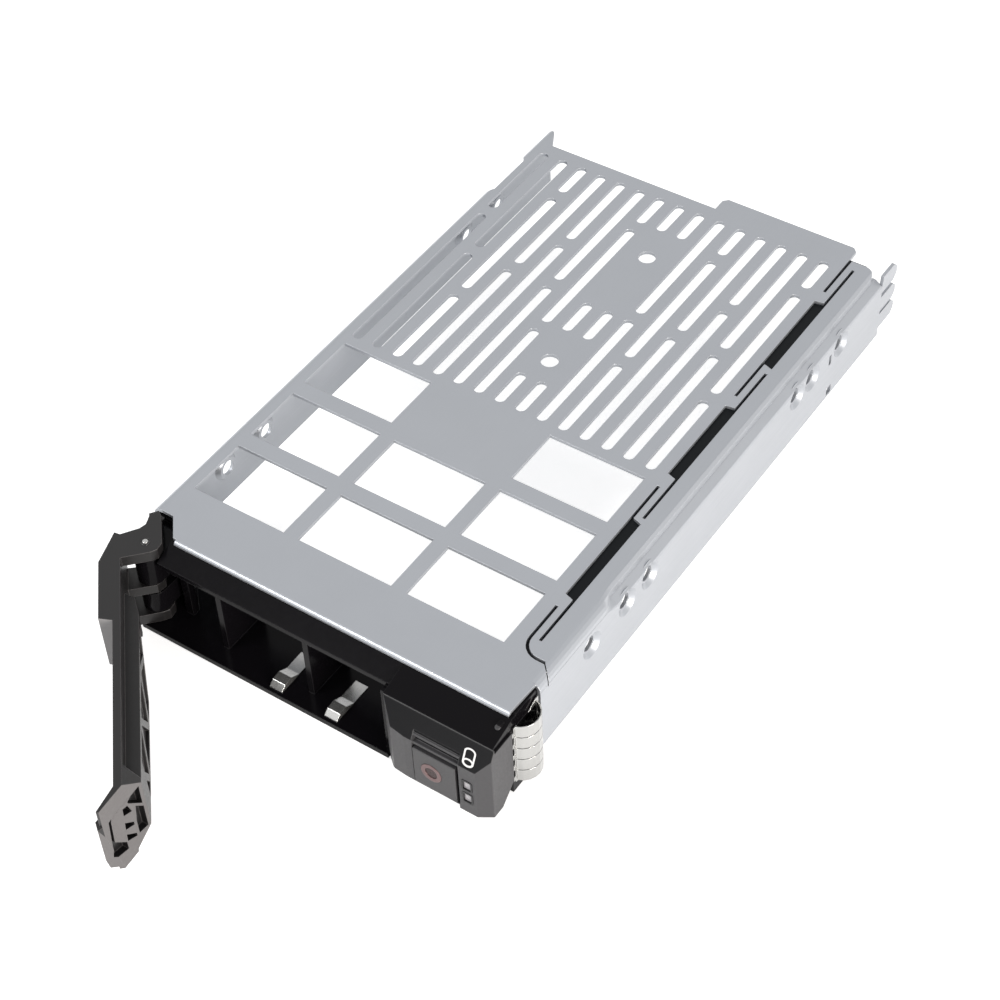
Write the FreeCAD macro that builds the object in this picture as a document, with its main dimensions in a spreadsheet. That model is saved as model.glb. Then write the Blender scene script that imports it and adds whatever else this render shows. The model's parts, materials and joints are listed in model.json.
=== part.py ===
import FreeCAD, Part
import math
import os
import Sketcher

# Hot swap drive caddy: a folded steel tray, a moulded front bezel, a swing-out
# lever, a push button and the small metal parts that go with them.
# X is the width, Y runs from the front to the rear and Z is up. The origin lies
# midway between the rails, in line with the tray's front edge, on the plane of
# the bezel's underside. Every length is in millimetres, every angle in degrees.

# ---------------------------------------------------------------- driving sizes
DRIVING_SIZES = {
    # shared sizes and clearances
    "play": (0.3, "clearance round anything that moves"),
    "run_fit": (0.05, "radial clearance of the lever on its pin"),
    "body_top": (26.0, "height of the tray's top face"),
    # tray: plate, walls and bends
    "sheet": (0.9, "steel thickness"),
    "half_width": (53.0, "middle to the outer face of a rail"),
    "right_depth": (21.0, "top face to the lower edge of the right rail"),
    "left_depth": (17.8, "top face to the lower edge of the left rail"),
    "left_step": (11.2, "top face to the step in the left rail"),
    "left_set": (0.35, "how far the left rail stands out below its step"),
    "bend": (2.3, "outer radius of the long bends"),
    "lip_bend": (1.1, "outer radius of the front lip"),
    "lip_left": (-41.6, "left end of the front lip"),
    "lip_right": (51.4, "right end of the front lip"),
    "notch_x": (-47.0, "inner end of the lever notch"),
    "notch_y": (6.5, "rear edge of the lever notch"),
    "rear_y": (168.9, "rear edge of the plate"),
    "tab_left": (3.5, "left side of the rear tab"),
    "tab_depth": (5.0, "rear tab, beyond the plate"),
    "tail_y": (174.6, "rear end of the left rail"),
    "tail_x": (-47.8, "inner end of the left rail's tail"),
    "nick_front": (142.4, "front end of the nick in the left rail's bend"),
    "nick_rear": (163.0, "rear end of that nick"),
    "nick_x": (-50.9, "inner side of that nick"),
    "nick_deep": (4.6, "depth of that nick"),
    "rail_front": (10.0, "front end of the right rail"),
    "groove": (0.2, "depth of the crease below the right rail's bend"),
    "corner_r": (3.0, "radius of the right rear corner"),
    "arc_front": (15.6, "front edge of the arc slit"),
    "arc_turn": (5.0, "outer radius of the arc slit"),
    "arc_deep": (3.2, "depth of the arc slit in the rail"),
    # tray: windows
    "window_x": (-48.5, "left side of the first window column"),
    "window_y": (16.1, "front of the first window row"),
    "window_wide": (26.6, "window, across"),
    "window_deep": (16.7, "window, front to rear"),
    "window_step_x": (30.65, "pitch of the window columns"),
    "window_step_y": (21.2, "pitch of the window rows"),
    # tray: slot field
    "slot_x": (-41.25, "centre line of slot column nought"),
    "slot_step": (6.13, "pitch of the slot columns"),
    "slot_r": (1.45, "half the width of a slot"),
    "slot_front": (78.1, "front ends of the slots"),
    "slot_rear": (165.1, "rear ends of the slots"),
    "slot_middle": (121.6, "middle of the slot field"),
    "slot_break": (15.1, "pitch of the webs that break the slots"),
    "slot_web": (3.4, "web between two slots in line"),
    "hole_x": (-1.5, "centre line of the two round holes"),
    "hole_y": (96.9, "front round hole"),
    "hole_step": (45.8, "pitch of the round holes"),
    "hole_r": (2.3, "radius of the round holes"),
    # tray: flexure edge on the right
    "gap_x": (43.1, "inner side of the flexure gap"),
    "gap_wide": (3.2, "width of the flexure gap"),
    "slit": (0.8, "width of a flexure slit"),
    "gap_skew": (1.0, "slant of the gap's ends"),
    "joggle_front": (37.2, "where the shoulder of the rail starts to drop"),
    "joggle_run": (4.6, "length of that transition"),
    "shoulder_x": (50.9, "outer face of the dropped shoulder"),
    "shoulder_z": (2.8, "depth of the dropped shoulder"),
    "shoulder_foot": (4.5, "depth at which the shoulder meets the wall"),
    "finger_root": (168.9, "rear end of the right wall between its fingers"),
    "finger_tip": (177.0, "rear end of the right wall's fingers"),
    # tray: drive screw stations
    "screw_z": (18.75, "height of the drive screw holes"),
    "screw_a": (30.7, "front hole of the first set"),
    "screw_b": (45.6, "front hole of the second set"),
    "screw_pitch": (101.6, "pitch of a set"),
    "guide_y": (55.4, "front of the two guide dimples on the right"),
    "guide_step": (69.2, "pitch of the guide dimples"),
    "screw_r": (2.0, "radius of a screw hole"),
    "dimple_r": (3.9, "radius of a dimple at the wall"),
    "dimple_flat": (2.8, "radius of a dimple at its seat"),
    "dimple_in": (1.0, "depth of a dimple"),
    # bezel
    "floor": (1.45, "thickness of the bezel floor"),
    "floor_front": (-8.4, "front edge of the bezel floor"),
    "floor_left": (-50.4, "left end of the bezel floor"),
    "bezel_rear": (9.5, "rear face of the bezel"),
    "strip_front": (-4.9, "front edge of the top strip"),
    "strip_top": (24.7, "height of the strip where it leaves the lip"),
    "strip_edge": (22.56, "height of the strip's front edge"),
    "strip_under": (21.25, "underside of the strip"),
    "rib": (1.6, "thickness of the bezel's upright ribs"),
    "rib_front": (-3.6, "front edge of the upright ribs"),
    "rib_a": (-26.7, "middle of the left upright rib"),
    "rib_b": (-1.6, "middle of the right upright rib"),
    "block_left": (23.5, "left end of the button block"),
    "bulkhead": (-1.0, "front face of the bulkhead behind the block"),
    "cheek_x": (50.2, "inner face of the bezel's right cheek"),
    "cheek_out": (52.5, "outer face of the bezel's right cheek"),
    # button block and button
    "block_front": (-10.9, "front face of the button block"),
    "block_edge": (-7.6, "front edge of the strip above the block"),
    "facet_z": (15.8, "where the block's facet meets its front face"),
    "pocket_left": (32.8, "left side of the button pocket"),
    "pocket_right": (45.1, "right side of the button pocket"),
    "pocket_top": (14.1, "top of the button pocket"),
    "recess_top": (18.5, "top of the shallow recess round the pocket"),
    "recess_deep": (1.3, "depth of that recess"),
    "ridge_low": (15.0, "height of the lower ridge in the recess"),
    "ridge_high": (17.2, "height of the upper ridge in the recess"),
    "ridge_thick": (0.7, "thickness of the ridges"),
    "pocket_rear": (-4.0, "rear of the button pocket"),
    "button_right": (44.3, "right side of the button"),
    "button_rear": (-6.3, "rear face of the button"),
    "button_proud": (0.15, "button, in front of the block"),
    "ring_x": (37.75, "centre of the button's ring"),
    "ring_z": (7.7, "height of the button's ring"),
    "ring_r": (2.7, "radius of the button's ring"),
    "core_r": (1.65, "radius of the ring's core"),
    "coil_r": (2.4, "middle radius of the button spring"),
    "wire_r": (0.25, "radius of the spring wire"),
    "lens_x": (47.25, "centre line of the status lenses"),
    "lens_wide": (2.1, "width of a lens"),
    "lens_tall": (2.9, "height of a lens"),
    "lens_up": (9.7, "height of the upper lens"),
    "lens_low": (5.35, "height of the lower lens"),
    "lens_set": (0.3, "lens, behind the block's face"),
    "lens_rear": (-9.4, "rear face of the lenses"),
    # lever
    "pin_x": (-47.2, "lever pivot, across"),
    "pin_y": (-3.3, "lever pivot, front to rear"),
    "pin_r": (1.05, "radius of the lever pin"),
    "lever_open": (49.0, "how far the lever stands open"),
    "lever_foot": (1.9, "height of the lever's lower edge"),
    "hub_thick": (3.0, "thickness of the lever's hub plates"),
    "hub_middle": (13.0, "height of the lever's middle hub plate"),
    "hub_mid_thick": (2.6, "thickness of the middle hub plate"),
    "hub_r": (3.4, "radius of the hinge eyes"),
    "grip_in": (5.8, "pivot to the inner face of the front plate"),
    "grip_out": (7.6, "pivot to the outer face of the front plate"),
    "grip_end": (68.8, "end of the straight front plate"),
    "pad_out": (10.8, "pivot to the face of the finger pad"),
    "pad_end": (21.8, "end of the finger pad"),
    "web_top": (20.4, "top of the lever's web"),
    "web_thick": (1.4, "thickness of the lever's webs"),
    "web_start": (16.7, "pivot to the start of the web"),
    "spine_in": (2.5, "pivot to the spine's trussed face"),
    "spine_out": (4.0, "pivot to the spine's plain face"),
    "spine_low": (5.6, "lower edge of the spine"),
    "spine_chin": (31.0, "where the spine's lower edge turns up"),
    "truss_start": (23.5, "foot of the first truss rib"),
    "truss_foot": (13.8, "height of that foot"),
    "truss_step": (14.4, "pitch of the truss"),
    "truss_lean": (9.3, "run of a leaning truss rib"),
    "truss_deep": (0.9, "depth of the truss panels"),
    "tip_foot": (2.75, "height of the tip's lower edge"),
    "tip_in": (64.4, "inner end of the tip's end face"),
    "tip_run": (13.5, "length of the tip's slanting end face"),
    "tip_lean": (2.9, "how far the tip leans back towards its foot"),
    "tip_wall": (1.2, "thickness of the tip's rim"),
    # small metal parts
    "spring_leaf": (0.25, "thickness of the contact springs"),
    "finger_wide": (3.6, "width of a contact finger"),
    "finger_step": (3.85, "pitch of the contact fingers"),
    "finger_low": (3.0, "height of the lowest contact finger"),
    "spring_front": (-0.2, "front edge of the contact spring"),
    "bow_middle": (4.8, "middle of the contact fingers' bow"),
    "bow_r": (4.55, "radius of that bow"),
    "bow_set": (1.15, "centre of the bow, behind the cheek's face"),
    "clip_wide": (3.6, "width of a floor contact"),
    "clip_a": (-9.1, "middle of the inner floor contact"),
    "clip_b": (6.7, "middle of the outer floor contact"),
    "carrier_wide": (5.6, "width of the light pipe carrier"),
    "carrier_deep": (1.6, "thickness of the light pipe carrier"),
    "carrier_rear": (170.0, "rear end of the light pipe carrier"),
}

doc = FreeCAD.newDocument("drive_caddy")
sheet = doc.addObject("Spreadsheet::Sheet", "Sizes")


def fill_sheet():
    """Write one row per driving size: value, note and alias."""
    for row, (alias, (value, note)) in enumerate(DRIVING_SIZES.items(), start=1):
        sheet.set("A%d" % row, str(value))
        sheet.set("B%d" % row, note)
        sheet.setAlias("A%d" % row, alias)
    doc.recompute()


class Size:
    """A length that carries its value and the sheet formula behind it."""

    def __init__(self, value, formula=None):
        self.value = value
        self.formula = formula or repr(value)

    def _join(self, other, sign, value):
        other = as_size(other)
        return Size(value(self.value, other.value),
                    "(%s %s %s)" % (self.formula, sign, other.formula))

    def __add__(self, other):
        return self._join(other, "+", lambda p, q: p + q)

    def __sub__(self, other):
        return self._join(other, "-", lambda p, q: p - q)

    def __mul__(self, other):
        return self._join(other, "*", lambda p, q: p * q)

    def __truediv__(self, other):
        return self._join(other, "/", lambda p, q: p / q)

    def __neg__(self):
        return Size(-self.value, "(0 - %s)" % self.formula)

    __radd__ = __add__


def as_size(item):
    """Accept a plain number wherever a Size is wanted."""
    return item if isinstance(item, Size) else Size(float(item))


class Sizes:
    """Look a driving size up by its alias."""

    def __getattr__(self, alias):
        return Size(DRIVING_SIZES[alias][0], "Sizes." + alias)


S = Sizes()


# ------------------------------------------------------------------ small tools
def bind(target, path, item):
    """Tie one property of an object to the sheet."""
    item = as_size(item)
    target.setExpression(path, item.formula)


def new_body(label):
    """Start a body with its own label."""
    body = doc.addObject("PartDesign::Body", label)
    body.Label = label
    return body


def new_sketch(body, name, plane, level):
    """Sketch on one of the body's own planes, moved along the world axis."""
    sketch = body.newObject("Sketcher::SketchObject", name)
    base = [f for f in body.Origin.OriginFeatures if f.Role == plane + "_Plane"][0]
    sketch.AttachmentSupport = [(base, "")]
    sketch.MapMode = "FlatFace"
    level = as_size(level)
    if plane == "XZ":
        level = -level
    sketch.AttachmentOffset = FreeCAD.Placement(FreeCAD.Vector(0, 0, level.value), FreeCAD.Rotation())
    bind(sketch, "AttachmentOffset.Base.z", level)
    return sketch


def tie(sketch, kind, args, item):
    """Add one dimension to a sketch and tie it to the sheet."""
    item = as_size(item)
    index = sketch.addConstraint(Sketcher.Constraint(kind, *args, item.value))
    sketch.setExpression("Constraints[%d]" % index, item.formula)


def tie_point(sketch, edge, end, x, y):
    """Fix one end of an edge at x, y from the sketch's origin."""
    for kind, item in (("DistanceX", as_size(x)), ("DistanceY", as_size(y))):
        tie(sketch, kind, (-1, 1, edge, end), item)


def add_polygon(sketch, points):
    """Closed polygon with every corner tied to the sheet."""
    corners = [(as_size(x), as_size(y)) for x, y in points]
    first = sketch.GeometryCount
    total = len(corners)
    for i in range(total):
        (xa, ya), (xb, yb) = corners[i], corners[(i + 1) % total]
        sketch.addGeometry(Part.LineSegment(FreeCAD.Vector(xa.value, ya.value, 0),
                                            FreeCAD.Vector(xb.value, yb.value, 0)), False)
    for i in range(total):
        sketch.addConstraint(Sketcher.Constraint("Coincident", first + i, 2,
                                                 first + (i + 1) % total, 1))
    for i, (x, y) in enumerate(corners):
        tie_point(sketch, first + i, 1, x, y)


def add_circle(sketch, x, y, radius):
    """Circle tied to the sheet."""
    x, y, radius = as_size(x), as_size(y), as_size(radius)
    index = sketch.addGeometry(Part.Circle(FreeCAD.Vector(x.value, y.value, 0),
                                           FreeCAD.Vector(0, 0, 1), radius.value), False)
    tie_point(sketch, index, 3, x, y)
    tie(sketch, "Radius", (index,), radius)


def add_slot(sketch, x, front, rear, radius):
    """Upright slot with round ends, from front to rear."""
    x, front, rear, radius = as_size(x), as_size(front), as_size(rear), as_size(radius)
    low, high = front + radius, rear - radius
    up = FreeCAD.Vector(0, 0, 1)
    centres = [FreeCAD.Vector(x.value, low.value, 0), FreeCAD.Vector(x.value, high.value, 0)]
    reach = FreeCAD.Vector(radius.value, 0, 0)
    first = sketch.GeometryCount
    sketch.addGeometry(Part.ArcOfCircle(Part.Circle(centres[0], up, radius.value),
                                        math.pi, 2 * math.pi), False)
    sketch.addGeometry(Part.LineSegment(centres[0] + reach, centres[1] + reach), False)
    sketch.addGeometry(Part.ArcOfCircle(Part.Circle(centres[1], up, radius.value),
                                        0, math.pi), False)
    sketch.addGeometry(Part.LineSegment(centres[1] - reach, centres[0] - reach), False)
    for edge, end, other, start in ((0, 2, 1, 1), (1, 2, 2, 1), (2, 2, 3, 1), (3, 2, 0, 1)):
        sketch.addConstraint(Sketcher.Constraint("Tangent", first + edge, end, first + other, start))
    sketch.addConstraint(Sketcher.Constraint("Vertical", first + 1))
    tie_point(sketch, first, 3, x, low)
    tie(sketch, "DistanceY", (-1, 1, first + 2, 3), high)
    tie(sketch, "Radius", (first,), radius)


def grow(body, sketch, plane, length):
    """Pad a sketch along the positive world axis."""
    pad = body.newObject("PartDesign::Pad", sketch.Name + "_pad")
    pad.Profile = sketch
    pad.Length = as_size(length).value
    bind(pad, "Length", length)
    pad.Reversed = plane == "XZ"
    return pad


def sink(body, sketch, plane, length):
    """Pocket a sketch along the positive world axis."""
    doc.recompute()
    before = body.Shape.Volume
    pocket = body.newObject("PartDesign::Pocket", sketch.Name + "_cut")
    pocket.Profile = sketch
    pocket.Length = as_size(length).value
    bind(pocket, "Length", length)
    pocket.Reversed = plane != "XZ"
    doc.recompute()
    if body.Shape.Volume > before - 1e-3:
        raise RuntimeError("%s cuts nothing" % sketch.Name)
    return pocket


def prism(body, name, plane, points, start, end):
    """Pad a polygon from one world level to another."""
    sketch = new_sketch(body, name, plane, start)
    add_polygon(sketch, points)
    return grow(body, sketch, plane, as_size(end) - start)


def cutout(body, name, plane, points, start, end):
    """Pocket a polygon from one world level to another."""
    sketch = new_sketch(body, name, plane, start)
    add_polygon(sketch, points)
    return sink(body, sketch, plane, as_size(end) - start)


def repeat(body, feature, axis, count, step):
    """Repeat a feature in a row along one of the body's own axes."""
    row = body.newObject("PartDesign::LinearPattern", feature.Name + "_row")
    row.Originals = [feature]
    line = [f for f in body.Origin.OriginFeatures if f.Role == axis + "_Axis"][0]
    row.Direction = (line, [""])
    row.Occurrences = count
    row.Length = (as_size(step) * (count - 1)).value
    bind(row, "Length", as_size(step) * (count - 1))
    body.Tip = row
    doc.recompute()
    return row


def box_points(x0, x1, y0, y1):
    """The four corners of an upright rectangle."""
    return [(x0, y0), (x1, y0), (x1, y1), (x0, y1)]


def block(label, x0, x1, y0, y1, z0, z1):
    """Part::Box between two corners."""
    box = doc.addObject("Part::Box", label)
    box.Label = label
    for side, axis, low, high in (("Length", "x", x0, x1), ("Width", "y", y0, y1), ("Height", "z", z0, z1)):
        bind(box, side, as_size(high) - low)
        bind(box, "Placement.Base." + axis, low)
    return box


def rod(label, radius, length, x, y, z, axis="z"):
    """Part::Cylinder that starts at x, y, z and runs along +X, +Y or +Z."""
    cylinder = doc.addObject("Part::Cylinder", label)
    cylinder.Label = label
    bind(cylinder, "Radius", radius)
    bind(cylinder, "Height", length)
    turn = {"x": FreeCAD.Rotation(FreeCAD.Vector(0, 1, 0), 90),
            "y": FreeCAD.Rotation(FreeCAD.Vector(1, 0, 0), -90),
            "z": FreeCAD.Rotation()}[axis]
    cylinder.Placement = FreeCAD.Placement(FreeCAD.Vector(), turn)
    for name, item in (("x", x), ("y", y), ("z", z)):
        bind(cylinder, "Placement.Base." + name, item)
    return cylinder


def taper(label, radius_out, radius_in, length, side, x, y, z):
    """Part::Cone along X; side +1 grows towards the right, -1 towards the left."""
    cone = doc.addObject("Part::Cone", label)
    cone.Label = label
    bind(cone, "Radius1", radius_out)
    bind(cone, "Radius2", radius_in)
    bind(cone, "Height", length)
    cone.Placement = FreeCAD.Placement(FreeCAD.Vector(), FreeCAD.Rotation(FreeCAD.Vector(0, 1, 0), 90 * side))
    for name, item in (("x", x), ("y", y), ("z", z)):
        bind(cone, "Placement.Base." + name, item)
    return cone


def join(label, pieces):
    """Part::MultiFuse of several shapes."""
    fuse = doc.addObject("Part::MultiFuse", label)
    fuse.Label = label
    fuse.Shapes = pieces
    return fuse


def carve(label, base, tools):
    """Part::Cut of one shape by one or more others."""
    cut = doc.addObject("Part::Cut", label)
    cut.Label = label
    cut.Base = base
    cut.Tool = tools[0] if len(tools) == 1 else join(label + "_tools", tools)
    return cut


# ------------------------------------------------------------------------- tray
def arc_points(cx, cy, radius, start, end, steps):
    """Chords of an arc; the centre and radius may be Sizes."""
    points = []
    for i in range(steps + 1):
        angle = math.radians(start + (end - start) * i / steps)
        points.append((as_size(cx) + as_size(radius) * round(math.cos(angle), 6),
                       as_size(cy) + as_size(radius) * round(math.sin(angle), 6)))
    return points


def fold_profile():
    """Left wall with its step, bend and plate, as one strip in the XZ plane."""
    left, top, low = -S.half_width, S.body_top, S.body_top - S.left_depth
    step, foot = top - S.left_step, left - S.left_set
    centre_x, centre_z = left + S.bend, top - S.bend
    outer = arc_points(centre_x, centre_z, S.bend, 180, 90, 4)
    inner = arc_points(centre_x, centre_z, S.bend - S.sheet, 90, 180, 4)
    end = S.gap_x + S.gap_wide + 2.0
    return ([(foot, low), (foot, step - S.left_set), (left, step)] + outer
            + [(end, top), (end, top - S.sheet)] + inner
            + [(left + S.sheet, step - 0.1), (foot + S.sheet, step - S.left_set - 0.1), (foot + S.sheet, low)])


def rail_points(outer, inner):
    """Close a section of the right rail from its outer and its inner corners."""
    low = S.body_top - S.right_depth
    inner_x = S.gap_x + S.gap_wide + 1.0
    down = [(inner_x, S.body_top)] + outer + [(S.half_width, low)]
    back = [(inner_x, S.body_top - S.sheet)] + inner + [(S.half_width - S.sheet, low)]
    return down + back[::-1]


def front_rail_profile():
    """Right rail with a plain bend and a crease below it."""
    cx, cz = S.half_width - S.bend, S.body_top - S.bend
    outer = arc_points(cx, cz, S.bend, 90, 0, 4)
    crease = [(S.half_width - S.groove, cz - S.groove * 0.75), (S.half_width, cz - S.groove * 1.5)]
    inner = arc_points(cx, cz, S.bend - S.sheet, 90, 0, 4)
    return rail_points(outer + crease, inner)


def rear_rail_profile():
    """Right rail with the dropped shoulder and a crease at its foot."""
    top, right, face = S.body_top, S.half_width, S.shoulder_x
    drop, foot, back = top - S.shoulder_z, top - S.shoulder_foot, S.shoulder_x - S.sheet
    outer = [(face - 0.7, top), (face, top - 0.7), (face, drop + S.groove * 0.75),
             (face - S.groove, drop), (face + 0.05, drop - S.groove * 0.5),
             (right - 0.25, foot + 0.3), (right, foot - 0.3)]
    inner = [(face - 1.1, top - S.sheet), (back, top - 1.1), (back, drop - 0.45),
             (right - S.sheet - 0.25, foot - 0.3), (right - S.sheet, foot - 0.75)]
    return rail_points(outer, inner)


def lip_profile():
    """Rolled front lip, in the YZ plane."""
    centre_y, centre_z = S.lip_bend, S.body_top - S.lip_bend
    outer = arc_points(centre_y, centre_z, S.lip_bend, 90, 180, 4)
    inner = arc_points(centre_y, centre_z, S.lip_bend - S.sheet, 180, 90, 4)
    behind = S.lip_bend + 0.5
    return [(behind, S.body_top)] + outer + inner + [(behind, S.body_top - S.sheet)]


def tray_folds(body):
    """Plate, walls and lip."""
    top, under = S.body_top, S.body_top - S.sheet
    prism(body, "fold", "XZ", fold_profile(), S.notch_y, S.rear_y)
    slope = (S.notch_x - S.lip_left) / S.notch_y
    flat_end, shoulder = S.half_width - S.bend, S.gap_x + 1.9
    front = [(S.lip_left + slope * S.lip_bend, S.lip_bend), (S.lip_right, S.lip_bend),
             (S.lip_right + 0.4, S.rail_front), (flat_end, S.rail_front), (flat_end, S.arc_front),
             (shoulder, S.arc_front + 1.0), (shoulder, 9.0), (S.notch_x - 1.0, 9.0),
             (S.notch_x - 1.0, S.notch_y), (S.notch_x, S.notch_y)]
    prism(body, "front_plate", "XY", front, under, top)
    prism(body, "lip", "YZ", lip_profile(), S.lip_left, S.lip_right)
    prism(body, "rail_front_part", "XZ", front_rail_profile(), S.rail_front, S.joggle_front)
    joggle_rear = S.joggle_front + S.joggle_run
    first = new_sketch(body, "joggle_start", "XZ", S.joggle_front)
    add_polygon(first, front_rail_profile())
    second = new_sketch(body, "joggle_end", "XZ", joggle_rear)
    add_polygon(second, rear_rail_profile())
    loft = body.newObject("PartDesign::AdditiveLoft", "joggle")
    loft.Profile = first
    loft.Sections = [second]
    loft.Ruled = True
    prism(body, "rail_rear_part", "XZ", rear_rail_profile(), joggle_rear, S.finger_root)


def tray_rear(body):
    """Rear tab, the left rail's tail and the right rail's fingers."""
    top, under = S.body_top, S.body_top - S.sheet
    nip, end = 1.2, S.rear_y + S.tab_depth
    tab = [(S.tab_left, S.rear_y - 1.0), (S.gap_x, S.rear_y - 1.0), (S.gap_x, end - nip),
           (S.gap_x - nip, end), (S.tab_left + nip, end), (S.tab_left, end - nip)]
    prism(body, "rear_tab", "XY", tab, under, top)
    tail = fold_profile()
    ends = [i for i, (x, z) in enumerate(tail) if x.value > 0]
    tail[ends[0]:ends[1] + 1] = [(S.tail_x, top), (S.tail_x, under)]
    prism(body, "left_tail", "XZ", tail, S.rear_y - 1.0, S.tail_y)
    bevel = [(S.tail_x + 0.1, S.rear_y), (S.tail_x - 2.7, S.tail_y - 0.6), (S.tail_x - 3.8, S.tail_y + 0.5),
             (S.tail_x + 1.0, S.tail_y + 0.5), (S.tail_x + 1.0, S.rear_y)]
    cutout(body, "tail_bevel", "XY", bevel, under - 0.5, top + 0.5)
    outside = -S.half_width - 0.6
    nick = [(outside, S.nick_front), (S.nick_x - 2.5, S.nick_front + 0.6), (S.nick_x, S.nick_front + 2.9),
            (S.nick_x, S.nick_rear - 3.4), (outside, S.nick_rear)]
    cutout(body, "bend_nick", "XY", nick, top - S.nick_deep, top + 0.5)
    root, tip, face = S.finger_root, S.finger_tip, S.half_width
    for i, (low, high) in enumerate(((7.4, 12.1), (13.1, 17.8)), start=1):
        lobe = [(root - 1.0, low), (tip - 1.4, low), (tip, low + 1.4), (tip, high - 1.4),
                (tip - 1.4, high), (root - 1.0, high)]
        prism(body, "finger_%d" % i, "YZ", lobe, face - S.sheet, face)
    lobe = [(root - 1.0, 19.3), (tip - 1.6, 19.3), (tip, 20.9), (tip, 22.9), (tip - 1.6, 24.5),
            (root + 0.6, 24.5), (root, 20.9), (root - 1.0, 20.9)]
    prism(body, "finger_3", "YZ", lobe, face - S.sheet, face)
    outer, round_y = S.shoulder_x, S.rear_y - S.corner_r
    corner = (arc_points(outer - S.corner_r, round_y, S.corner_r, 0, 90, 6)
              + [(outer - S.corner_r, S.rear_y + 0.5), (outer + 0.05, S.rear_y + 0.5), (outer + 0.05, round_y)])
    cutout(body, "rear_corner", "XY", corner, top - S.shoulder_z, top + 0.5)


def tray_windows(body):
    """Eight windows: two full rows and a rear row with a solid middle."""
    under = S.body_top - S.sheet - 0.5
    above = S.body_top + 0.5
    for name, row, count, step in (("window_front", 0, 3, 1), ("window_mid", 1, 3, 1), ("window_rear", 2, 2, 2)):
        y0 = S.window_y + S.window_step_y * row
        corners = box_points(S.window_x, S.window_x + S.window_wide, y0, y0 + S.window_deep)
        feature = cutout(body, name, "XY", corners, under, above)
        repeat(body, feature, "X", count, S.window_step_x * step)


SLOT_KINDS = (
    # name, columns in the sketch, repeats, columns per repeat, stretches
    ("slots_halved", (0, 8), 3, 2, ((None, 0), (0, None))),
    ("slots_thirds", (1,), 4, 4, ((None, -1), (-1, 2), (2, None))),
    ("slots_long", (-1, 3, 11), 1, 1, ((None, 1), (1, None))),
    ("slots_sparse", (6,), 2, 1, ((None, -2), (-1, 0), (2, None))),
)


def tray_slots(body):
    """Fifteen columns of slots in four patterns, and two round holes."""
    under = S.body_top - S.sheet - 0.5
    depth = S.sheet + 1.0
    for name, columns, count, step, stretches in SLOT_KINDS:
        sketch = new_sketch(body, name, "XY", under)
        for column in columns:
            x = S.slot_x + S.slot_step * column
            for begin, end in stretches:
                front = S.slot_front if begin is None else (
                    S.slot_middle + S.slot_break * begin + S.slot_web / 2)
                rear = S.slot_rear if end is None else (
                    S.slot_middle + S.slot_break * end - S.slot_web / 2)
                add_slot(sketch, x, front, rear, S.slot_r)
        feature = sink(body, sketch, "XY", depth)
        if count > 1:
            repeat(body, feature, "X", count, S.slot_step * step)
    sketch = new_sketch(body, "round_holes", "XY", under)
    add_circle(sketch, S.hole_x, S.hole_y, S.hole_r)
    add_circle(sketch, S.hole_x, S.hole_y + S.hole_step, S.hole_r)
    sink(body, sketch, "XY", depth)


GAP_STRETCHES = (
    # front end, rear end, slant of the rear end
    (34.2, 62.1, 1.0), (78.3, 106.6, -0.5), (122.9, 151.1, -0.5))
PLATE_SLITS = ((20.4, 31.2), (60.0, 74.6), (110.2, 124.6), (154.8, 170.0))
RAIL_SLITS = ((20.7, 36.0), (63.9, 79.8), (105.0, 120.9), (149.6, 166.0))


def tray_flexures(body):
    """Gap, slits and arc slit that let the right rail spring."""
    under, above = S.body_top - S.sheet - 0.5, S.body_top + 0.5
    near, far = S.gap_x, S.gap_x + S.gap_wide
    for i, (front, rear, slant) in enumerate(GAP_STRETCHES, start=1):
        corners = [(near, S.gap_skew + front), (far, front), (far, rear), (near, S.gap_skew * slant + rear)]
        cutout(body, "gap_%d" % i, "XY", corners, under, above)
    for i, (front, rear) in enumerate(PLATE_SLITS, start=1):
        cutout(body, "plate_slit_%d" % i, "XY", box_points(near, near + S.slit, front, rear), under, above)
    for i, (front, rear) in enumerate(RAIL_SLITS, start=1):
        cutout(body, "rail_slit_%d" % i, "XY", box_points(far - S.slit, far, front, rear), under, above)
    cx, cy = near + S.arc_turn, S.arc_front + S.arc_turn
    bend_x, outside = S.half_width - S.bend - 0.4, S.half_width + 0.6
    leg = outside - bend_x
    arc = (arc_points(cx, cy, S.arc_turn, 180, 270, 6)
           + [(bend_x, S.arc_front), (outside, S.arc_front - leg), (outside, S.arc_front - leg + 0.3),
              (bend_x + 0.1, S.arc_front + 0.3), (bend_x - 0.2, S.arc_front + S.slit)]
           + arc_points(cx, cy, S.arc_turn - S.slit, 270, 180, 6))
    cutout(body, "arc_slit", "XY", arc, S.body_top - S.arc_deep, above)


def tray_lances(body):
    """Small notches in the right wall."""
    far_right, near_right = S.half_width + 0.5, S.half_width - S.sheet - 0.5
    for name, y, z, wide, tall in (("lance_1", 141.0, 17.6, 1.2, 3.2), ("lance_2", 141.0, 6.8, 2.4, 2.4)):
        corners = box_points(y, y + wide, z - tall / 2, z + tall / 2)
        cutout(body, name, "YZ", corners, near_right, far_right)


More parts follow.
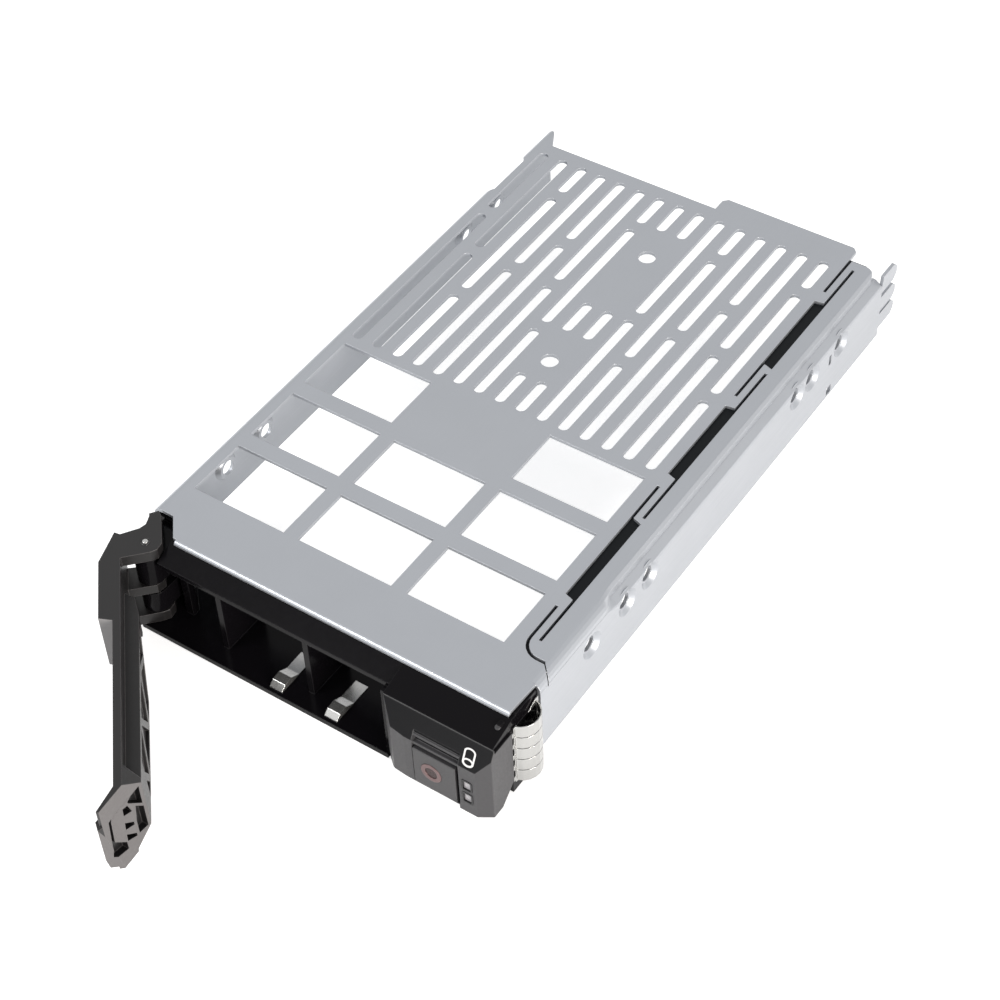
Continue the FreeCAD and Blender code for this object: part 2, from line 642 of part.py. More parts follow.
def make_tray():
    """Folded tray with dimpled screw holes."""
    body = new_body("tray_fold")
    tray_folds(body)
    tray_rear(body)
    tray_windows(body)
    tray_slots(body)
    tray_flexures(body)
    tray_lances(body)
    solids, holes = [], []
    inner = S.half_width - S.sheet
    screws = (S.screw_a, S.screw_b, S.screw_a + S.screw_pitch, S.screw_b + S.screw_pitch)
    guides = (S.guide_y, S.guide_y + S.guide_step)
    for side, word, stations in ((1, "right", screws + guides), (-1, "left", screws)):
        for i, y in enumerate(stations, start=1):
            tag = "%s_%d" % (word, i)
            solids.append(taper("boss_" + tag, S.dimple_r, S.dimple_flat, S.dimple_in + 0.1, -side,
                                (inner + 0.1) * side, y, S.screw_z))
            holes.append(taper("dish_" + tag, S.dimple_r - 0.2, S.dimple_flat - 0.3, S.dimple_in + 0.05, -side,
                               (S.half_width + 0.05) * side, y, S.screw_z))
            start = (S.half_width - 4.0) if side > 0 else -S.half_width - 1.0
            holes.append(rod("drill_" + tag, S.screw_r, 5.0, start, y, S.screw_z, "x"))
    return carve("tray_sheet", join("tray_blank", [body] + solids), holes)


# ------------------------------------------------------------------------ bezel
def make_bezel():
    """Moulded front frame: floor, top strip, uprights, hinge lug and bulkhead."""
    body = new_body("bezel_body")
    under = S.body_top - S.sheet
    prism(body, "floor_plate", "XY",
          [(S.floor_left, -6.6), (S.floor_left + 1.8, S.floor_front), (S.block_left, S.floor_front),
           (S.block_left, S.bulkhead), (S.cheek_out, S.bulkhead), (S.cheek_out, S.bezel_rear),
           (S.floor_left, S.bezel_rear)], 0.0, S.floor)
    strip = [(S.bezel_rear, under), (S.lip_bend + 0.6, under), (S.lip_bend + 0.3, S.strip_top),
             (0.0, S.strip_top), (S.strip_front, S.strip_edge), (S.strip_front, S.strip_under),
             (S.bezel_rear, S.strip_under)]
    prism(body, "strip", "YZ", strip, S.lip_left - 1.4, S.block_left)
    over = [(S.bezel_rear, under), (S.lip_bend + 0.6, under), (S.lip_bend + 0.3, S.strip_top),
            (0.0, S.strip_top), (S.block_edge, S.strip_edge), (S.block_edge, S.strip_under),
            (S.bezel_rear, S.strip_under)]
    prism(body, "strip_over_block", "YZ", over, S.block_left, S.cheek_out - 0.2)
    corner_backing(body)
    prism(body, "bulkhead_wall", "XZ", box_points(S.block_left, S.cheek_out, 0.5, S.strip_under + 0.2),
          S.bulkhead, S.bulkhead + S.rib)
    prism(body, "right_cheek", "YZ", box_points(S.bulkhead, S.bezel_rear, 0.5, S.strip_under + 0.2),
          S.cheek_x, S.cheek_out)
    prism(body, "block_wall", "YZ",
          [(S.block_edge + 1.0, 0.5), (S.bezel_rear, 0.5), (S.bezel_rear, S.strip_under + 0.2),
           (S.block_edge + 1.0, S.strip_under + 0.2)], S.block_left - S.rib, S.block_left)
    for name, x in (("rib_left", S.rib_a), ("rib_right", S.rib_b)):
        prism(body, name, "YZ", box_points(S.rib_front, S.bezel_rear, 0.5, S.strip_under + 0.2),
              x - S.rib / 2, x + S.rib / 2)
    wall = [(S.lip_left - 0.2, 0.0), (S.lip_left + 2.0, 0.0), (S.lip_left + 2.0, 2.0),
            (S.notch_x + 1.6, S.notch_y + 1.6), (S.sheet - S.half_width, S.notch_y + 1.6),
            (S.sheet - S.half_width, S.notch_y), (S.notch_x, S.notch_y)]
    prism(body, "notch_wall", "XY", wall, 0.0, S.body_top - S.bend)
    hinge_ears(body)
    doc.recompute()
    nub = block("strip_nub", 50.1, 51.2, -2.6, -1.2, S.strip_top - 0.8, S.strip_top - 0.05)
    return join("bezel_frame", [body, nub])


def corner_backing(body):
    """Pad and tongue behind the arc slit, clear of the drive bay and of the carrier."""
    front, rear = S.bezel_rear - 0.5, S.arc_front + 1.4
    inner = S.gap_x - 1.0 + S.carrier_wide + 0.1
    under = S.body_top - S.sheet
    flat_end = S.half_width - S.bend
    prism(body, "corner_pad", "XY", box_points(inner, flat_end, front, rear), under - S.carrier_deep, under)
    prism(body, "corner_tongue", "XY", box_points(flat_end + 0.2, S.half_width - S.sheet - 0.05, front, rear),
          S.strip_under - 1.0, S.body_top - S.bend - 0.1)


def hinge_ears(body):
    """Two ears that carry the pin, with the lever's three plates above, between and below them."""
    left, right, rear = S.pin_x - S.hub_r, S.pin_x + S.hub_r, S.notch_y + 0.8
    ear = [(left, S.pin_y), (right, S.pin_y), (right, S.notch_y - 0.4), (S.pin_x + 0.6, rear), (left, rear)]
    half = S.hub_mid_thick / 2 + S.play
    levels = ((S.lever_foot + S.hub_thick + S.play, S.hub_middle - half),
              (S.hub_middle + half, S.body_top - S.hub_thick - S.play))
    for i, (low, high) in enumerate(levels, start=1):
        prism(body, "ear_web_%d" % i, "XY", ear, low, high)
        sketch = new_sketch(body, "ear_eye_%d" % i, "XY", low)
        add_circle(sketch, S.pin_x, S.pin_y, S.hub_r)
        grow(body, sketch, "XY", high - low)
    hole = new_sketch(body, "pin_hole", "XY", 0.6)
    add_circle(hole, S.pin_x, S.pin_y, S.pin_r)
    sink(body, hole, "XY", S.body_top)


# ------------------------------------------------------- button block and button
def make_cover():
    """Textured block around the button, with its facet and its pockets."""
    plan = new_body("cover_plan")
    right = S.cheek_out + S.play
    outline = [(S.block_left, S.bulkhead), (S.block_left, S.block_edge), (27.0, S.block_front + 0.3),
               (30.8, S.block_front), (right - 3.2, S.block_front), (right, S.block_front + 2.0),
               (right, S.bulkhead)]
    prism(plan, "cover_outline", "XY", outline, 0.0, S.strip_edge)
    side = new_body("cover_side")
    section = [(S.bulkhead, 4.6), (-5.6, 0.0), (S.block_front, 0.0), (S.block_front, S.facet_z),
               (S.block_edge, S.strip_edge), (S.block_edge, S.strip_under), (S.bulkhead, S.strip_under)]
    prism(side, "cover_section", "YZ", section, 20.0, 60.0)
    common = doc.addObject("Part::MultiCommon", "cover_block")
    common.Shapes = [plan, side]
    pocket = block("pocket_room", S.pocket_left, S.pocket_right, S.block_front - 1.0, S.pocket_rear,
                   S.floor, S.pocket_top)
    room = rod("spring_room", S.coil_r + 0.8, 4.0, S.ring_x, S.pocket_rear - 0.5, S.ring_z, "y")
    recess = block("cover_recess", S.pocket_left, S.pocket_right, S.block_front - 1.0,
                   S.block_front + S.recess_deep, S.floor, S.recess_top)
    step = block("foot_step", 20.0, 44.9, S.block_front - 1.0, S.block_front + 1.2, -1.0, 1.3)
    lens_hole = [block("lens_hole_" + word, S.lens_x - S.lens_wide / 2, S.lens_x + S.lens_wide / 2,
                       S.block_front - 1.0, S.lens_rear, z - S.lens_tall / 2, z + S.lens_tall / 2)
                 for word, z in (("up", S.lens_up), ("low", S.lens_low))]
    duct = block("pipe_duct", S.lens_x - 1.9, S.lens_x + 1.9, S.lens_rear - 0.2, S.bulkhead + 1.0,
                 S.lens_low - 2.0, S.lens_up + 2.0)
    hollow = carve("cover_hollow", common, [pocket, room, recess, step, duct] + lens_hole)
    floor = S.block_front + S.recess_deep
    ridges = []
    for i, (proud, z) in enumerate(((1.0, S.ridge_low), (0.5, S.ridge_high)), start=1):
        ridges.append(block("ridge_%d" % i, S.pocket_left - 0.1, S.pocket_right + 0.1, floor - proud,
                            floor + 0.2, z - S.ridge_thick / 2, z + S.ridge_thick / 2))
    return join("button_cover", [hollow] + ridges)


def make_button():
    """Sliding button with its ring, core and coil spring."""
    face = S.block_front - S.button_proud
    body = new_body("release_button")
    left, right = S.pocket_left + S.play, S.button_right
    low, high = S.floor + S.play, S.pocket_top - 0.4
    prism(body, "button_face", "XZ", box_points(left, right, low, high), face, S.button_rear)
    seat = new_sketch(body, "ring_seat", "XZ", face)
    add_circle(seat, S.ring_x, S.ring_z, S.ring_r)
    sink(body, seat, "XZ", 0.8)
    ring_blank = rod("ring_blank", S.ring_r, 0.9, S.ring_x, face - 0.1, S.ring_z, "y")
    ring_bore = rod("ring_bore", S.core_r, 1.2, S.ring_x, face - 0.2, S.ring_z, "y")
    carve("button_ring", ring_blank, [ring_bore])
    rod("button_core", S.core_r, 0.75, S.ring_x, face + 0.05, S.ring_z, "y")
    coil = doc.addObject("Part::Feature", "button_spring")
    coil.Label = "button_spring"
    coil.Shape = coil_solid(S.coil_r.value, S.wire_r.value, S.bulkhead.value - S.button_rear.value)
    coil.Placement.Base = FreeCAD.Vector(S.ring_x.value, S.button_rear.value, S.ring_z.value)
    return body


COIL_TURNS, COIL_STEPS, WIRE_SIDES = 4, 10, 6


def coil_solid(radius, wire, length):
    """Coil along Y with a six-sided wire, closed by flat triangles."""
    rings = []
    for i in range(COIL_TURNS * COIL_STEPS + 1):
        turn = 2 * math.pi * i / COIL_STEPS
        along = wire + (length - 2 * wire) * i / (COIL_TURNS * COIL_STEPS)
        ring = []
        for side in range(WIRE_SIDES):
            tilt = 2 * math.pi * side / WIRE_SIDES + math.pi / 2
            reach = radius + wire * math.cos(tilt)
            ring.append(FreeCAD.Vector(reach * math.cos(turn), along + wire * math.sin(tilt),
                                       reach * math.sin(turn)))
        rings.append(ring)
    faces = [flat_face(rings[0]), flat_face(rings[-1][::-1])]
    for near, far in zip(rings, rings[1:]):
        for side in range(WIRE_SIDES):
            other = (side + 1) % WIRE_SIDES
            faces.append(flat_face([near[side], far[side], far[other]]))
            faces.append(flat_face([near[side], far[other], near[other]]))
    shell = Part.makeShell(faces)
    shell.sewShape()
    solid = Part.makeSolid(shell)
    if solid.Volume < 0:
        solid.reverse()
    return solid


def flat_face(corners):
    """Flat face between corners."""
    return Part.Face(Part.makePolygon(corners + corners[:1]))


def make_lights():
    """Lenses, the pipes behind them and the carrier under the flexure gap."""
    for word, z in (("upper", S.lens_up), ("lower", S.lens_low)):
        block("status_lens_" + word, S.lens_x - S.lens_wide / 2, S.lens_x + S.lens_wide / 2,
              S.block_front + S.lens_set, S.lens_rear, z - S.lens_tall / 2, z + S.lens_tall / 2)
        block("light_pipe_" + word, S.lens_x - 0.9, S.lens_x + 0.9, S.lens_rear, S.bulkhead, z - 1.2, z + 1.2)
    under = S.body_top - S.sheet
    block("light_pipe_carrier", S.gap_x - 1.0, S.gap_x - 1.0 + S.carrier_wide, S.bezel_rear, S.carrier_rear,
          under - S.carrier_deep, under)


# ------------------------------------------------------------------------ lever
def hub_outline():
    """Hub plate with its cam tooth; x runs along the lever, y towards the tray."""
    return [(-4.1, -7.1), (4.7, -7.4), (4.1, -5.6), (3.4, 1.1), (2.8, 2.7), (1.0, 3.8), (-7.8, 3.8),
            (-9.4, 3.3), (-8.9, 1.0), (-8.0, 1.0), (-5.6, 0.2), (-4.5, -1.3), (-3.9, -3.6), (-3.3, -5.8)]


def shrink(points, share):
    """Pull the corners of a panel towards its middle."""
    count = float(len(points))
    middle = [sum((as_size(point[axis]) for point in points), Size(0.0)) / count for axis in (0, 1)]
    return [tuple(as_size(point[axis]) * share + middle[axis] * (1 - share) for axis in (0, 1))
            for point in points]


def lever_hub(body):
    """Front plate, finger pad, three hub plates and the rib beside them."""
    foot, top = S.lever_foot, S.body_top
    inner, outer = -S.grip_in, -S.grip_out
    prism(body, "front_wall", "XY",
          [(-3.3, inner), (-4.1, -7.1), (-3.0, outer), (S.grip_end, outer), (S.grip_end + 6.1, -11.2),
           (S.grip_end + 6.4, inner - 4.8), (S.grip_end, inner)], foot, top)
    prism(body, "finger_pad", "XY",
          [(-4.1, -7.1), (4.7, -S.pad_out), (S.pad_end, -S.pad_out), (S.pad_end + 1.0, outer),
           (S.pad_end, inner - 0.5), (-3.0, inner - 0.5)], top - 16.1, top)
    prism(body, "hub_top", "XY", hub_outline(), top - S.hub_thick, top)
    prism(body, "hub_foot", "XY", hub_outline(), foot, foot + S.hub_thick)
    half = S.hub_mid_thick / 2
    prism(body, "hub_middle", "XY",
          [(-3.2, inner - 0.5), (3.8, inner - 0.5), (3.2, 1.0), (1.5, 2.9), (-1.5, 2.9), (-3.2, 1.0)],
          S.hub_middle - half, S.hub_middle + half)
    prism(body, "hub_rib", "XY", box_points(11.8, 13.0, inner - 0.5, -S.spine_out + 0.6), 8.0, S.web_top)


def lever_spine(body):
    """Two webs and the spine between them, with triangular panels sunk into it."""
    inner, low, reach = -S.grip_in - 0.5, S.spine_low, S.tip_in
    under = S.web_top - S.web_thick
    prism(body, "web_upper", "XY",
          [(9.5, inner), (reach, inner), (reach, -S.spine_in), (S.web_start, -S.spine_in),
           (11.8, -S.spine_out + 0.6)], under, S.web_top)
    prism(body, "web_lower", "XY", box_points(S.spine_chin, reach, inner, -S.spine_in), low + 0.4, low + 1.6)
    prism(body, "spine", "XZ",
          [(S.web_start, S.web_top), (S.web_start + 2.3, S.web_top - 1.9), (S.spine_chin, low + 0.3),
           (reach, low - 0.6), (reach, S.web_top)], -S.spine_out, -S.spine_in)
    high = S.web_top - S.web_thick / 2
    feet = [(S.truss_start, S.truss_foot)] + [(S.truss_start + S.truss_step * i, low) for i in (1, 2, 3)]
    crests = [(S.truss_start + S.truss_step * i + S.truss_lean, high) for i in range(3)]
    panels = [[(S.web_start + 2.0, high), crests[0], feet[0]],
              [feet[0], (S.spine_chin, low), feet[1], crests[0]],
              [crests[0], crests[1], feet[1]], [feet[1], feet[2], crests[1]],
              [crests[1], crests[2], feet[2]], [feet[2], feet[3], crests[2]]]
    for i, panel in enumerate(panels, start=1):
        cutout(body, "truss_panel_%d" % i, "XZ", shrink(panel, 0.8), -S.spine_in - S.truss_deep, 0.5)


def lever_tip(body):
    """Arrow tip: a rim round a recess in its slanting end face."""
    inner, start, face = -S.grip_in - 0.5, S.tip_in, -S.spine_in
    end_x, end_y = on_end_face(S.tip_run, 0.0)
    back = start - 7.0
    prism(body, "tip_body", "XY",
          [(back, inner), (back, face), (start, face), (end_x, end_y), (end_x + 0.5, end_y - 1.1),
           (end_x - 1.8, end_y - 1.6), (start + 2.6, -S.grip_out)], S.tip_foot, S.web_top)
    prism(body, "tip_rim", "XY",
          [(start - S.tip_wall, inner), (start - S.tip_wall, face), (start, face),
           (S.grip_end, -S.grip_in), (S.grip_end - 0.5, inner)], S.web_top - 0.1, S.body_top)
    cutout(body, "rim_slope", "YZ",
           [(-S.grip_in, S.body_top + 0.5), (-S.grip_in, S.body_top), (face, S.web_top),
            (0.5, S.web_top), (0.5, S.body_top + 0.5)], back, end_x + 2.0)
    cutout(body, "tip_chin", "YZ",
           [(-S.grip_in, 0.0), (-S.grip_in, S.tip_foot), (face, S.spine_low), (0.5, S.spine_low), (0.5, 0.0)],
           back - 0.5, end_x + 1.0)
    lean = [(end_x + 0.5, S.web_top), (end_x + 0.5 - S.tip_lean, S.tip_foot), (end_x + 0.4 - S.tip_lean, 1.0),
            (end_x + 2.0, 1.0), (end_x + 2.0, S.web_top)]
    cutout(body, "tip_lean_cut", "XZ", lean, end_y - 3.0, face)
    tip_recess(body)


def on_end_face(along, deep):
    """Point along the line of the tip's end face, sunk by a depth."""
    along, deep = as_size(along), as_size(deep)
    return S.tip_in + along * 0.8 - deep * 0.6, -S.spine_in - along * 0.6 - deep * 0.8


def tip_recess(body):
    """Recess in the end face with a block and three stepped ribs on its floor."""
    spot = on_end_face
    low, high = S.spine_low + 1.4, S.web_top - S.web_thick
    cutout(body, "tip_recess", "XY", [spot(1.3, -1.0), spot(1.3, 1.7), spot(9.8, 1.6), spot(9.8, -1.0)],
           low, high)
    cutout(body, "recess_foot", "XY", [spot(5.0, -1.0), spot(5.0, 1.5), spot(9.8, 1.5), spot(9.8, -1.0)],
           S.tip_foot + 1.7, low + 0.1)
    prism(body, "recess_block", "XY", [spot(5.4, 1.9), spot(5.4, 0.3), spot(8.7, 0.3), spot(8.7, 1.9)],
          low + 0.6, high - 1.5)
    for i, z in enumerate((8.4, 11.8, 15.2), start=1):
        front = 1.3 - 0.3 * i
        step = [spot(1.1, 1.9), spot(1.1, front + 0.4), spot(5.5, front), spot(5.5, 1.9)]
        prism(body, "recess_step_%d" % i, "XY", step, z, z + 1.6)


def make_lever():
    """Moulded lever: front plate, finger pad, webs, trussed spine and arrow tip."""
    body = new_body("lever_body")
    lever_hub(body)
    lever_spine(body)
    lever_tip(body)
    eye = new_sketch(body, "lever_eye", "XY", S.lever_foot - 0.5)
    add_circle(eye, 0.0, 0.0, S.pin_r + S.run_fit)
    sink(body, eye, "XY", S.body_top)
    doc.recompute()
    lever = doc.addObject("Part::Refine", "handle_lever")
    lever.Label = "handle_lever"
    lever.Source = body
    body.Placement = FreeCAD.Placement(FreeCAD.Vector(S.pin_x.value, S.pin_y.value, 0),
                                       FreeCAD.Rotation(FreeCAD.Vector(0, 0, 1), -S.lever_open.value))
    bind(body, "Placement.Base.x", S.pin_x)
    bind(body, "Placement.Base.y", S.pin_y)
    bind(body, "Placement.Rotation.Angle", -S.lever_open)
    rod("hinge_pin", S.pin_r, S.body_top - 0.6, S.pin_x, S.pin_y, 0.6)
    return lever


# ----------------------------------------------------------- small metal parts
def make_contacts():
    """Side contact spring with its fingers, and the two floor contacts."""
    body = new_body("emi_spring")
    leaf = S.spring_leaf
    base, front, rear = S.cheek_out, S.spring_front, S.bezel_rear
    low, high = S.finger_low, S.finger_low + S.finger_step * 4 + S.finger_wide
    prism(body, "spring_spine", "XY", box_points(base, base + leaf, front, front + 1.2), low, high)
    prism(body, "spring_heel", "XY", box_points(base, base + leaf, rear - 0.8, rear), low, high)
    prism(body, "spring_crest", "YZ", [(rear - 4.0, high - 0.4), (rear, high - 0.4), (rear, high + 1.2),
                                       (rear - 1.2, high + 1.2)], base, base + leaf)
    centre = base - S.bow_set
    bow = (arc_points(centre, S.bow_middle, S.bow_r, -74.3, 74.3, 8)
           + arc_points(centre, S.bow_middle, S.bow_r - leaf, 74.3, -74.3, 8))
    finger = prism(body, "contact_finger", "XY", bow, low, low + S.finger_wide)
    repeat(body, finger, "Z", 5, S.finger_step)
    tab = prism(body, "front_tab", "XY", box_points(base, base + leaf, front - 0.6, front + 0.1),
                low + 0.8, low + 2.2)
    repeat(body, tab, "Z", 5, S.finger_step)
    for name, x in (("bezel_contact_inner", S.clip_a), ("bezel_contact_outer", S.clip_b)):
        clip = new_body(name)
        profile = [(-7.4, S.floor), (4.6, S.floor), (4.6, S.floor + leaf), (-1.0, S.floor + leaf),
                   (-3.6, S.floor + 1.75), (-6.0, S.floor + 1.5), (-7.4, S.floor + leaf)]
        prism(clip, name + "_leaf", "YZ", profile, x - S.clip_wide / 2, x + S.clip_wide / 2)


NODES = ("tray_sheet", "bezel_frame", "button_cover", "release_button", "button_ring", "button_core",
         "button_spring", "status_lens_upper", "status_lens_lower", "light_pipe_upper",
         "light_pipe_lower", "light_pipe_carrier", "handle_lever", "hinge_pin", "emi_spring",
         "bezel_contact_inner", "bezel_contact_outer")


def check_and_write():
    """Stop on anything that failed, then write one file per sub-part."""
    doc.recompute()
    for item in doc.Objects:
        if "Invalid" in item.State or "Error" in item.State:
            raise RuntimeError("%s failed: %s" % (item.Name, item.State))
    os.makedirs("parts", exist_ok=True)
    for name in NODES:
        item = doc.getObjectsByLabel(name)[0]
        shape = item.Shape
        if shape.isNull() or not shape.isValid():
            raise RuntimeError("%s has no valid shape" % name)
        box = shape.BoundBox
        print("%-22s solids %d volume %9.1f  x %7.2f %7.2f  y %7.2f %7.2f  z %6.2f %6.2f" % (
            name, len(shape.Solids), shape.Volume, box.XMin, box.XMax, box.YMin, box.YMax, box.ZMin, box.ZMax))
        shape.exportStep("parts/%s.step" % name)


fill_sheet()
make_tray()
make_bezel()
make_cover()
make_button()
make_lights()
make_lever()
make_contacts()
check_and_write()
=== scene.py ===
"""Hot swap drive caddy: finishes, added pieces, studio and camera."""

import json
import logging
import math
from dataclasses import dataclass, field
from enum import Enum
from typing import Callable

import bmesh
import bpy
from mathutils import Matrix, Vector


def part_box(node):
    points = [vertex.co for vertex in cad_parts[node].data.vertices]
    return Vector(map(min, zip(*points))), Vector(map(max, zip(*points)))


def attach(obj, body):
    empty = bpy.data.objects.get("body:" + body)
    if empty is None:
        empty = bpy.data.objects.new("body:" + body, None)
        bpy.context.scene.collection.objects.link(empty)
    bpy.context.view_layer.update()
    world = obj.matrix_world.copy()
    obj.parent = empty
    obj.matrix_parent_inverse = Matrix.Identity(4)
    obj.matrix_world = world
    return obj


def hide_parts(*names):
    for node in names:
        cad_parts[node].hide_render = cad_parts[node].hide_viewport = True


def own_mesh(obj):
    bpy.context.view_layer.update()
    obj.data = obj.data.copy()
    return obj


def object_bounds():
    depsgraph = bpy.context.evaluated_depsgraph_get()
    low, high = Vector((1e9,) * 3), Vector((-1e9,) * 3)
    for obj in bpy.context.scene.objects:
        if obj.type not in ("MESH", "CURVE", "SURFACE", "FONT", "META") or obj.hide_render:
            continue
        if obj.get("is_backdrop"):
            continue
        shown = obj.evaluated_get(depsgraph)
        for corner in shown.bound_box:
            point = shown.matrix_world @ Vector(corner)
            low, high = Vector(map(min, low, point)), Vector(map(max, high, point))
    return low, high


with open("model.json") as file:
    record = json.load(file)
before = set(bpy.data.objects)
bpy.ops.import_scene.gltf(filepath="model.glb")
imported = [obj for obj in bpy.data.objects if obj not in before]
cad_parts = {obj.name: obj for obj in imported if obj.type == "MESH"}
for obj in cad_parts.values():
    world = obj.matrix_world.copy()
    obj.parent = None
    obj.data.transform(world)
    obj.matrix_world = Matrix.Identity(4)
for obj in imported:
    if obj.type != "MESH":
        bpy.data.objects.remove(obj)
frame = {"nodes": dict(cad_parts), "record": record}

logging.basicConfig(level=logging.INFO, format="%(message)s")
log = logging.getLogger("drive_caddy")

MM: float = 0.001
Colour = tuple[float, float, float]
Outline = tuple[tuple[float, float], ...]

# Colour sockets of a mix node, which share their names with its other sockets.
MIX_FACTOR, MIX_LOW, MIX_HIGH = 0, 6, 7
MIX_RESULT: int = 2

EDGE_SAMPLES: int = 6
# How near two corners of a copied mesh lie when they are one, in metres.
MERGE_REACH: float = 0.000002
# How far outside a piece a search for its surface starts, in metres.
STAND_OFF: float = 0.01
# Least share of a normal that points the wanted way, roughly and squarely.
FACING: float = 0.9
SQUARE: float = 0.99


class Body(str, Enum):
    """The rigid bodies that the added pieces ride on."""

    TRAY = "tray"
    LEVER = "lever"


class Slot(str, Enum):
    """The record's material slots."""

    TRAY_STEEL = "tray_steel"
    BEZEL_BLACK = "bezel_black"
    COVER_GREY = "cover_grey"
    LEVER_BLACK = "lever_black"
    BUTTON_GREY = "button_grey"
    RING_COPPER = "ring_copper"
    CORE_RED = "core_red"
    SPRING_STEEL = "spring_steel"
    LENS_CLEAR = "lens_clear"
    CARRIER_BLACK = "carrier_black"


class Paint(str, Enum):
    """Finishes beyond one for each slot."""

    FACET = "facet_and_painted_shade"
    GRIP = "tip_painted_reflection"
    HEEL = "heel_painted_reflection"
    PIN = "pin_steel"
    MARK = "mark_white"
    SURROUND = "surround_painted_shade"


# ------------------------------------------------------------------ shader tools
class NodeSheet:
    """A thin wrapper round one node tree, with its nodes column_step apart in the editor."""

    column_step: int = 190

    def __init__(self, tree: bpy.types.NodeTree) -> None:
        """Opens the node tree to write into."""
        self.tree = tree
        self.column = 0

    def add(self, kind: str, **settings: object) -> bpy.types.Node:
        """Adds a node.

        Args:
            kind: The node's bl_idname.
            **settings: Properties to set on it.

        Returns:
            The new node.
        """
        node = self.tree.nodes.new(kind)
        node.location = (self.column * self.column_step, 0)
        self.column += 1
        for name, value in settings.items():
            setattr(node, name, value)
        return node

    def link(self, start: bpy.types.NodeSocket, end: bpy.types.NodeSocket) -> None:
        """Joins an output socket to an input socket."""
        self.tree.links.new(start, end)

    def mix(self, factor: object, low: object, high: object) -> bpy.types.NodeSocket:
        """Mixes two colours.

        Args:
            factor: Socket or number.
            low: Colour or socket at factor 0.
            high: Colour or socket at factor 1.

        Returns:
            The mixed colour's socket.
        """
        node = self.add("ShaderNodeMix", data_type="RGBA")
        for socket, value in ((MIX_FACTOR, factor), (MIX_LOW, low), (MIX_HIGH, high)):
            self.feed(node.inputs[socket], value)
        return node.outputs[MIX_RESULT]

    def math(self, operation: str, first: object, second: object = 0.0) -> bpy.types.NodeSocket:
        """Adds one clamped maths step.

        Args:
            operation: Name of the operation.
            first: Socket or number.
            second: Socket or number.

        Returns:
            The result's socket.
        """
        node = self.add("ShaderNodeMath", operation=operation, use_clamp=True)
        self.feed(node.inputs[0], first)
        self.feed(node.inputs[1], second)
        return node.outputs[0]

    def noise(self, place: bpy.types.NodeSocket, scale: bpy.types.NodeSocket, detail: float,
              roughness: float = 0.5) -> bpy.types.NodeSocket:
        """Adds a noise texture.

        Args:
            place: Its coordinates.
            scale: Its scale.
            detail: How many finer layers it has.
            roughness: How strong they are.

        Returns:
            The texture's socket.
        """
        node = self.add("ShaderNodeTexNoise")
        node.inputs["Detail"].default_value = detail
        node.inputs["Roughness"].default_value = roughness
        self.link(place, node.inputs["Vector"])
        self.link(scale, node.inputs["Scale"])
        return node.outputs["Fac"]

    def feed(self, socket: bpy.types.NodeSocket, value: object) -> None:
        """Sets or links an input socket.

        Args:
            socket: The input.
            value: Another socket, a number or a colour.
        """
        if isinstance(value, bpy.types.NodeSocket):
            self.link(value, socket)
        elif isinstance(value, tuple) and len(value) == 3 and len(socket.default_value) == 4:
            socket.default_value = (*value, 1.0)
        else:
            socket.default_value = value


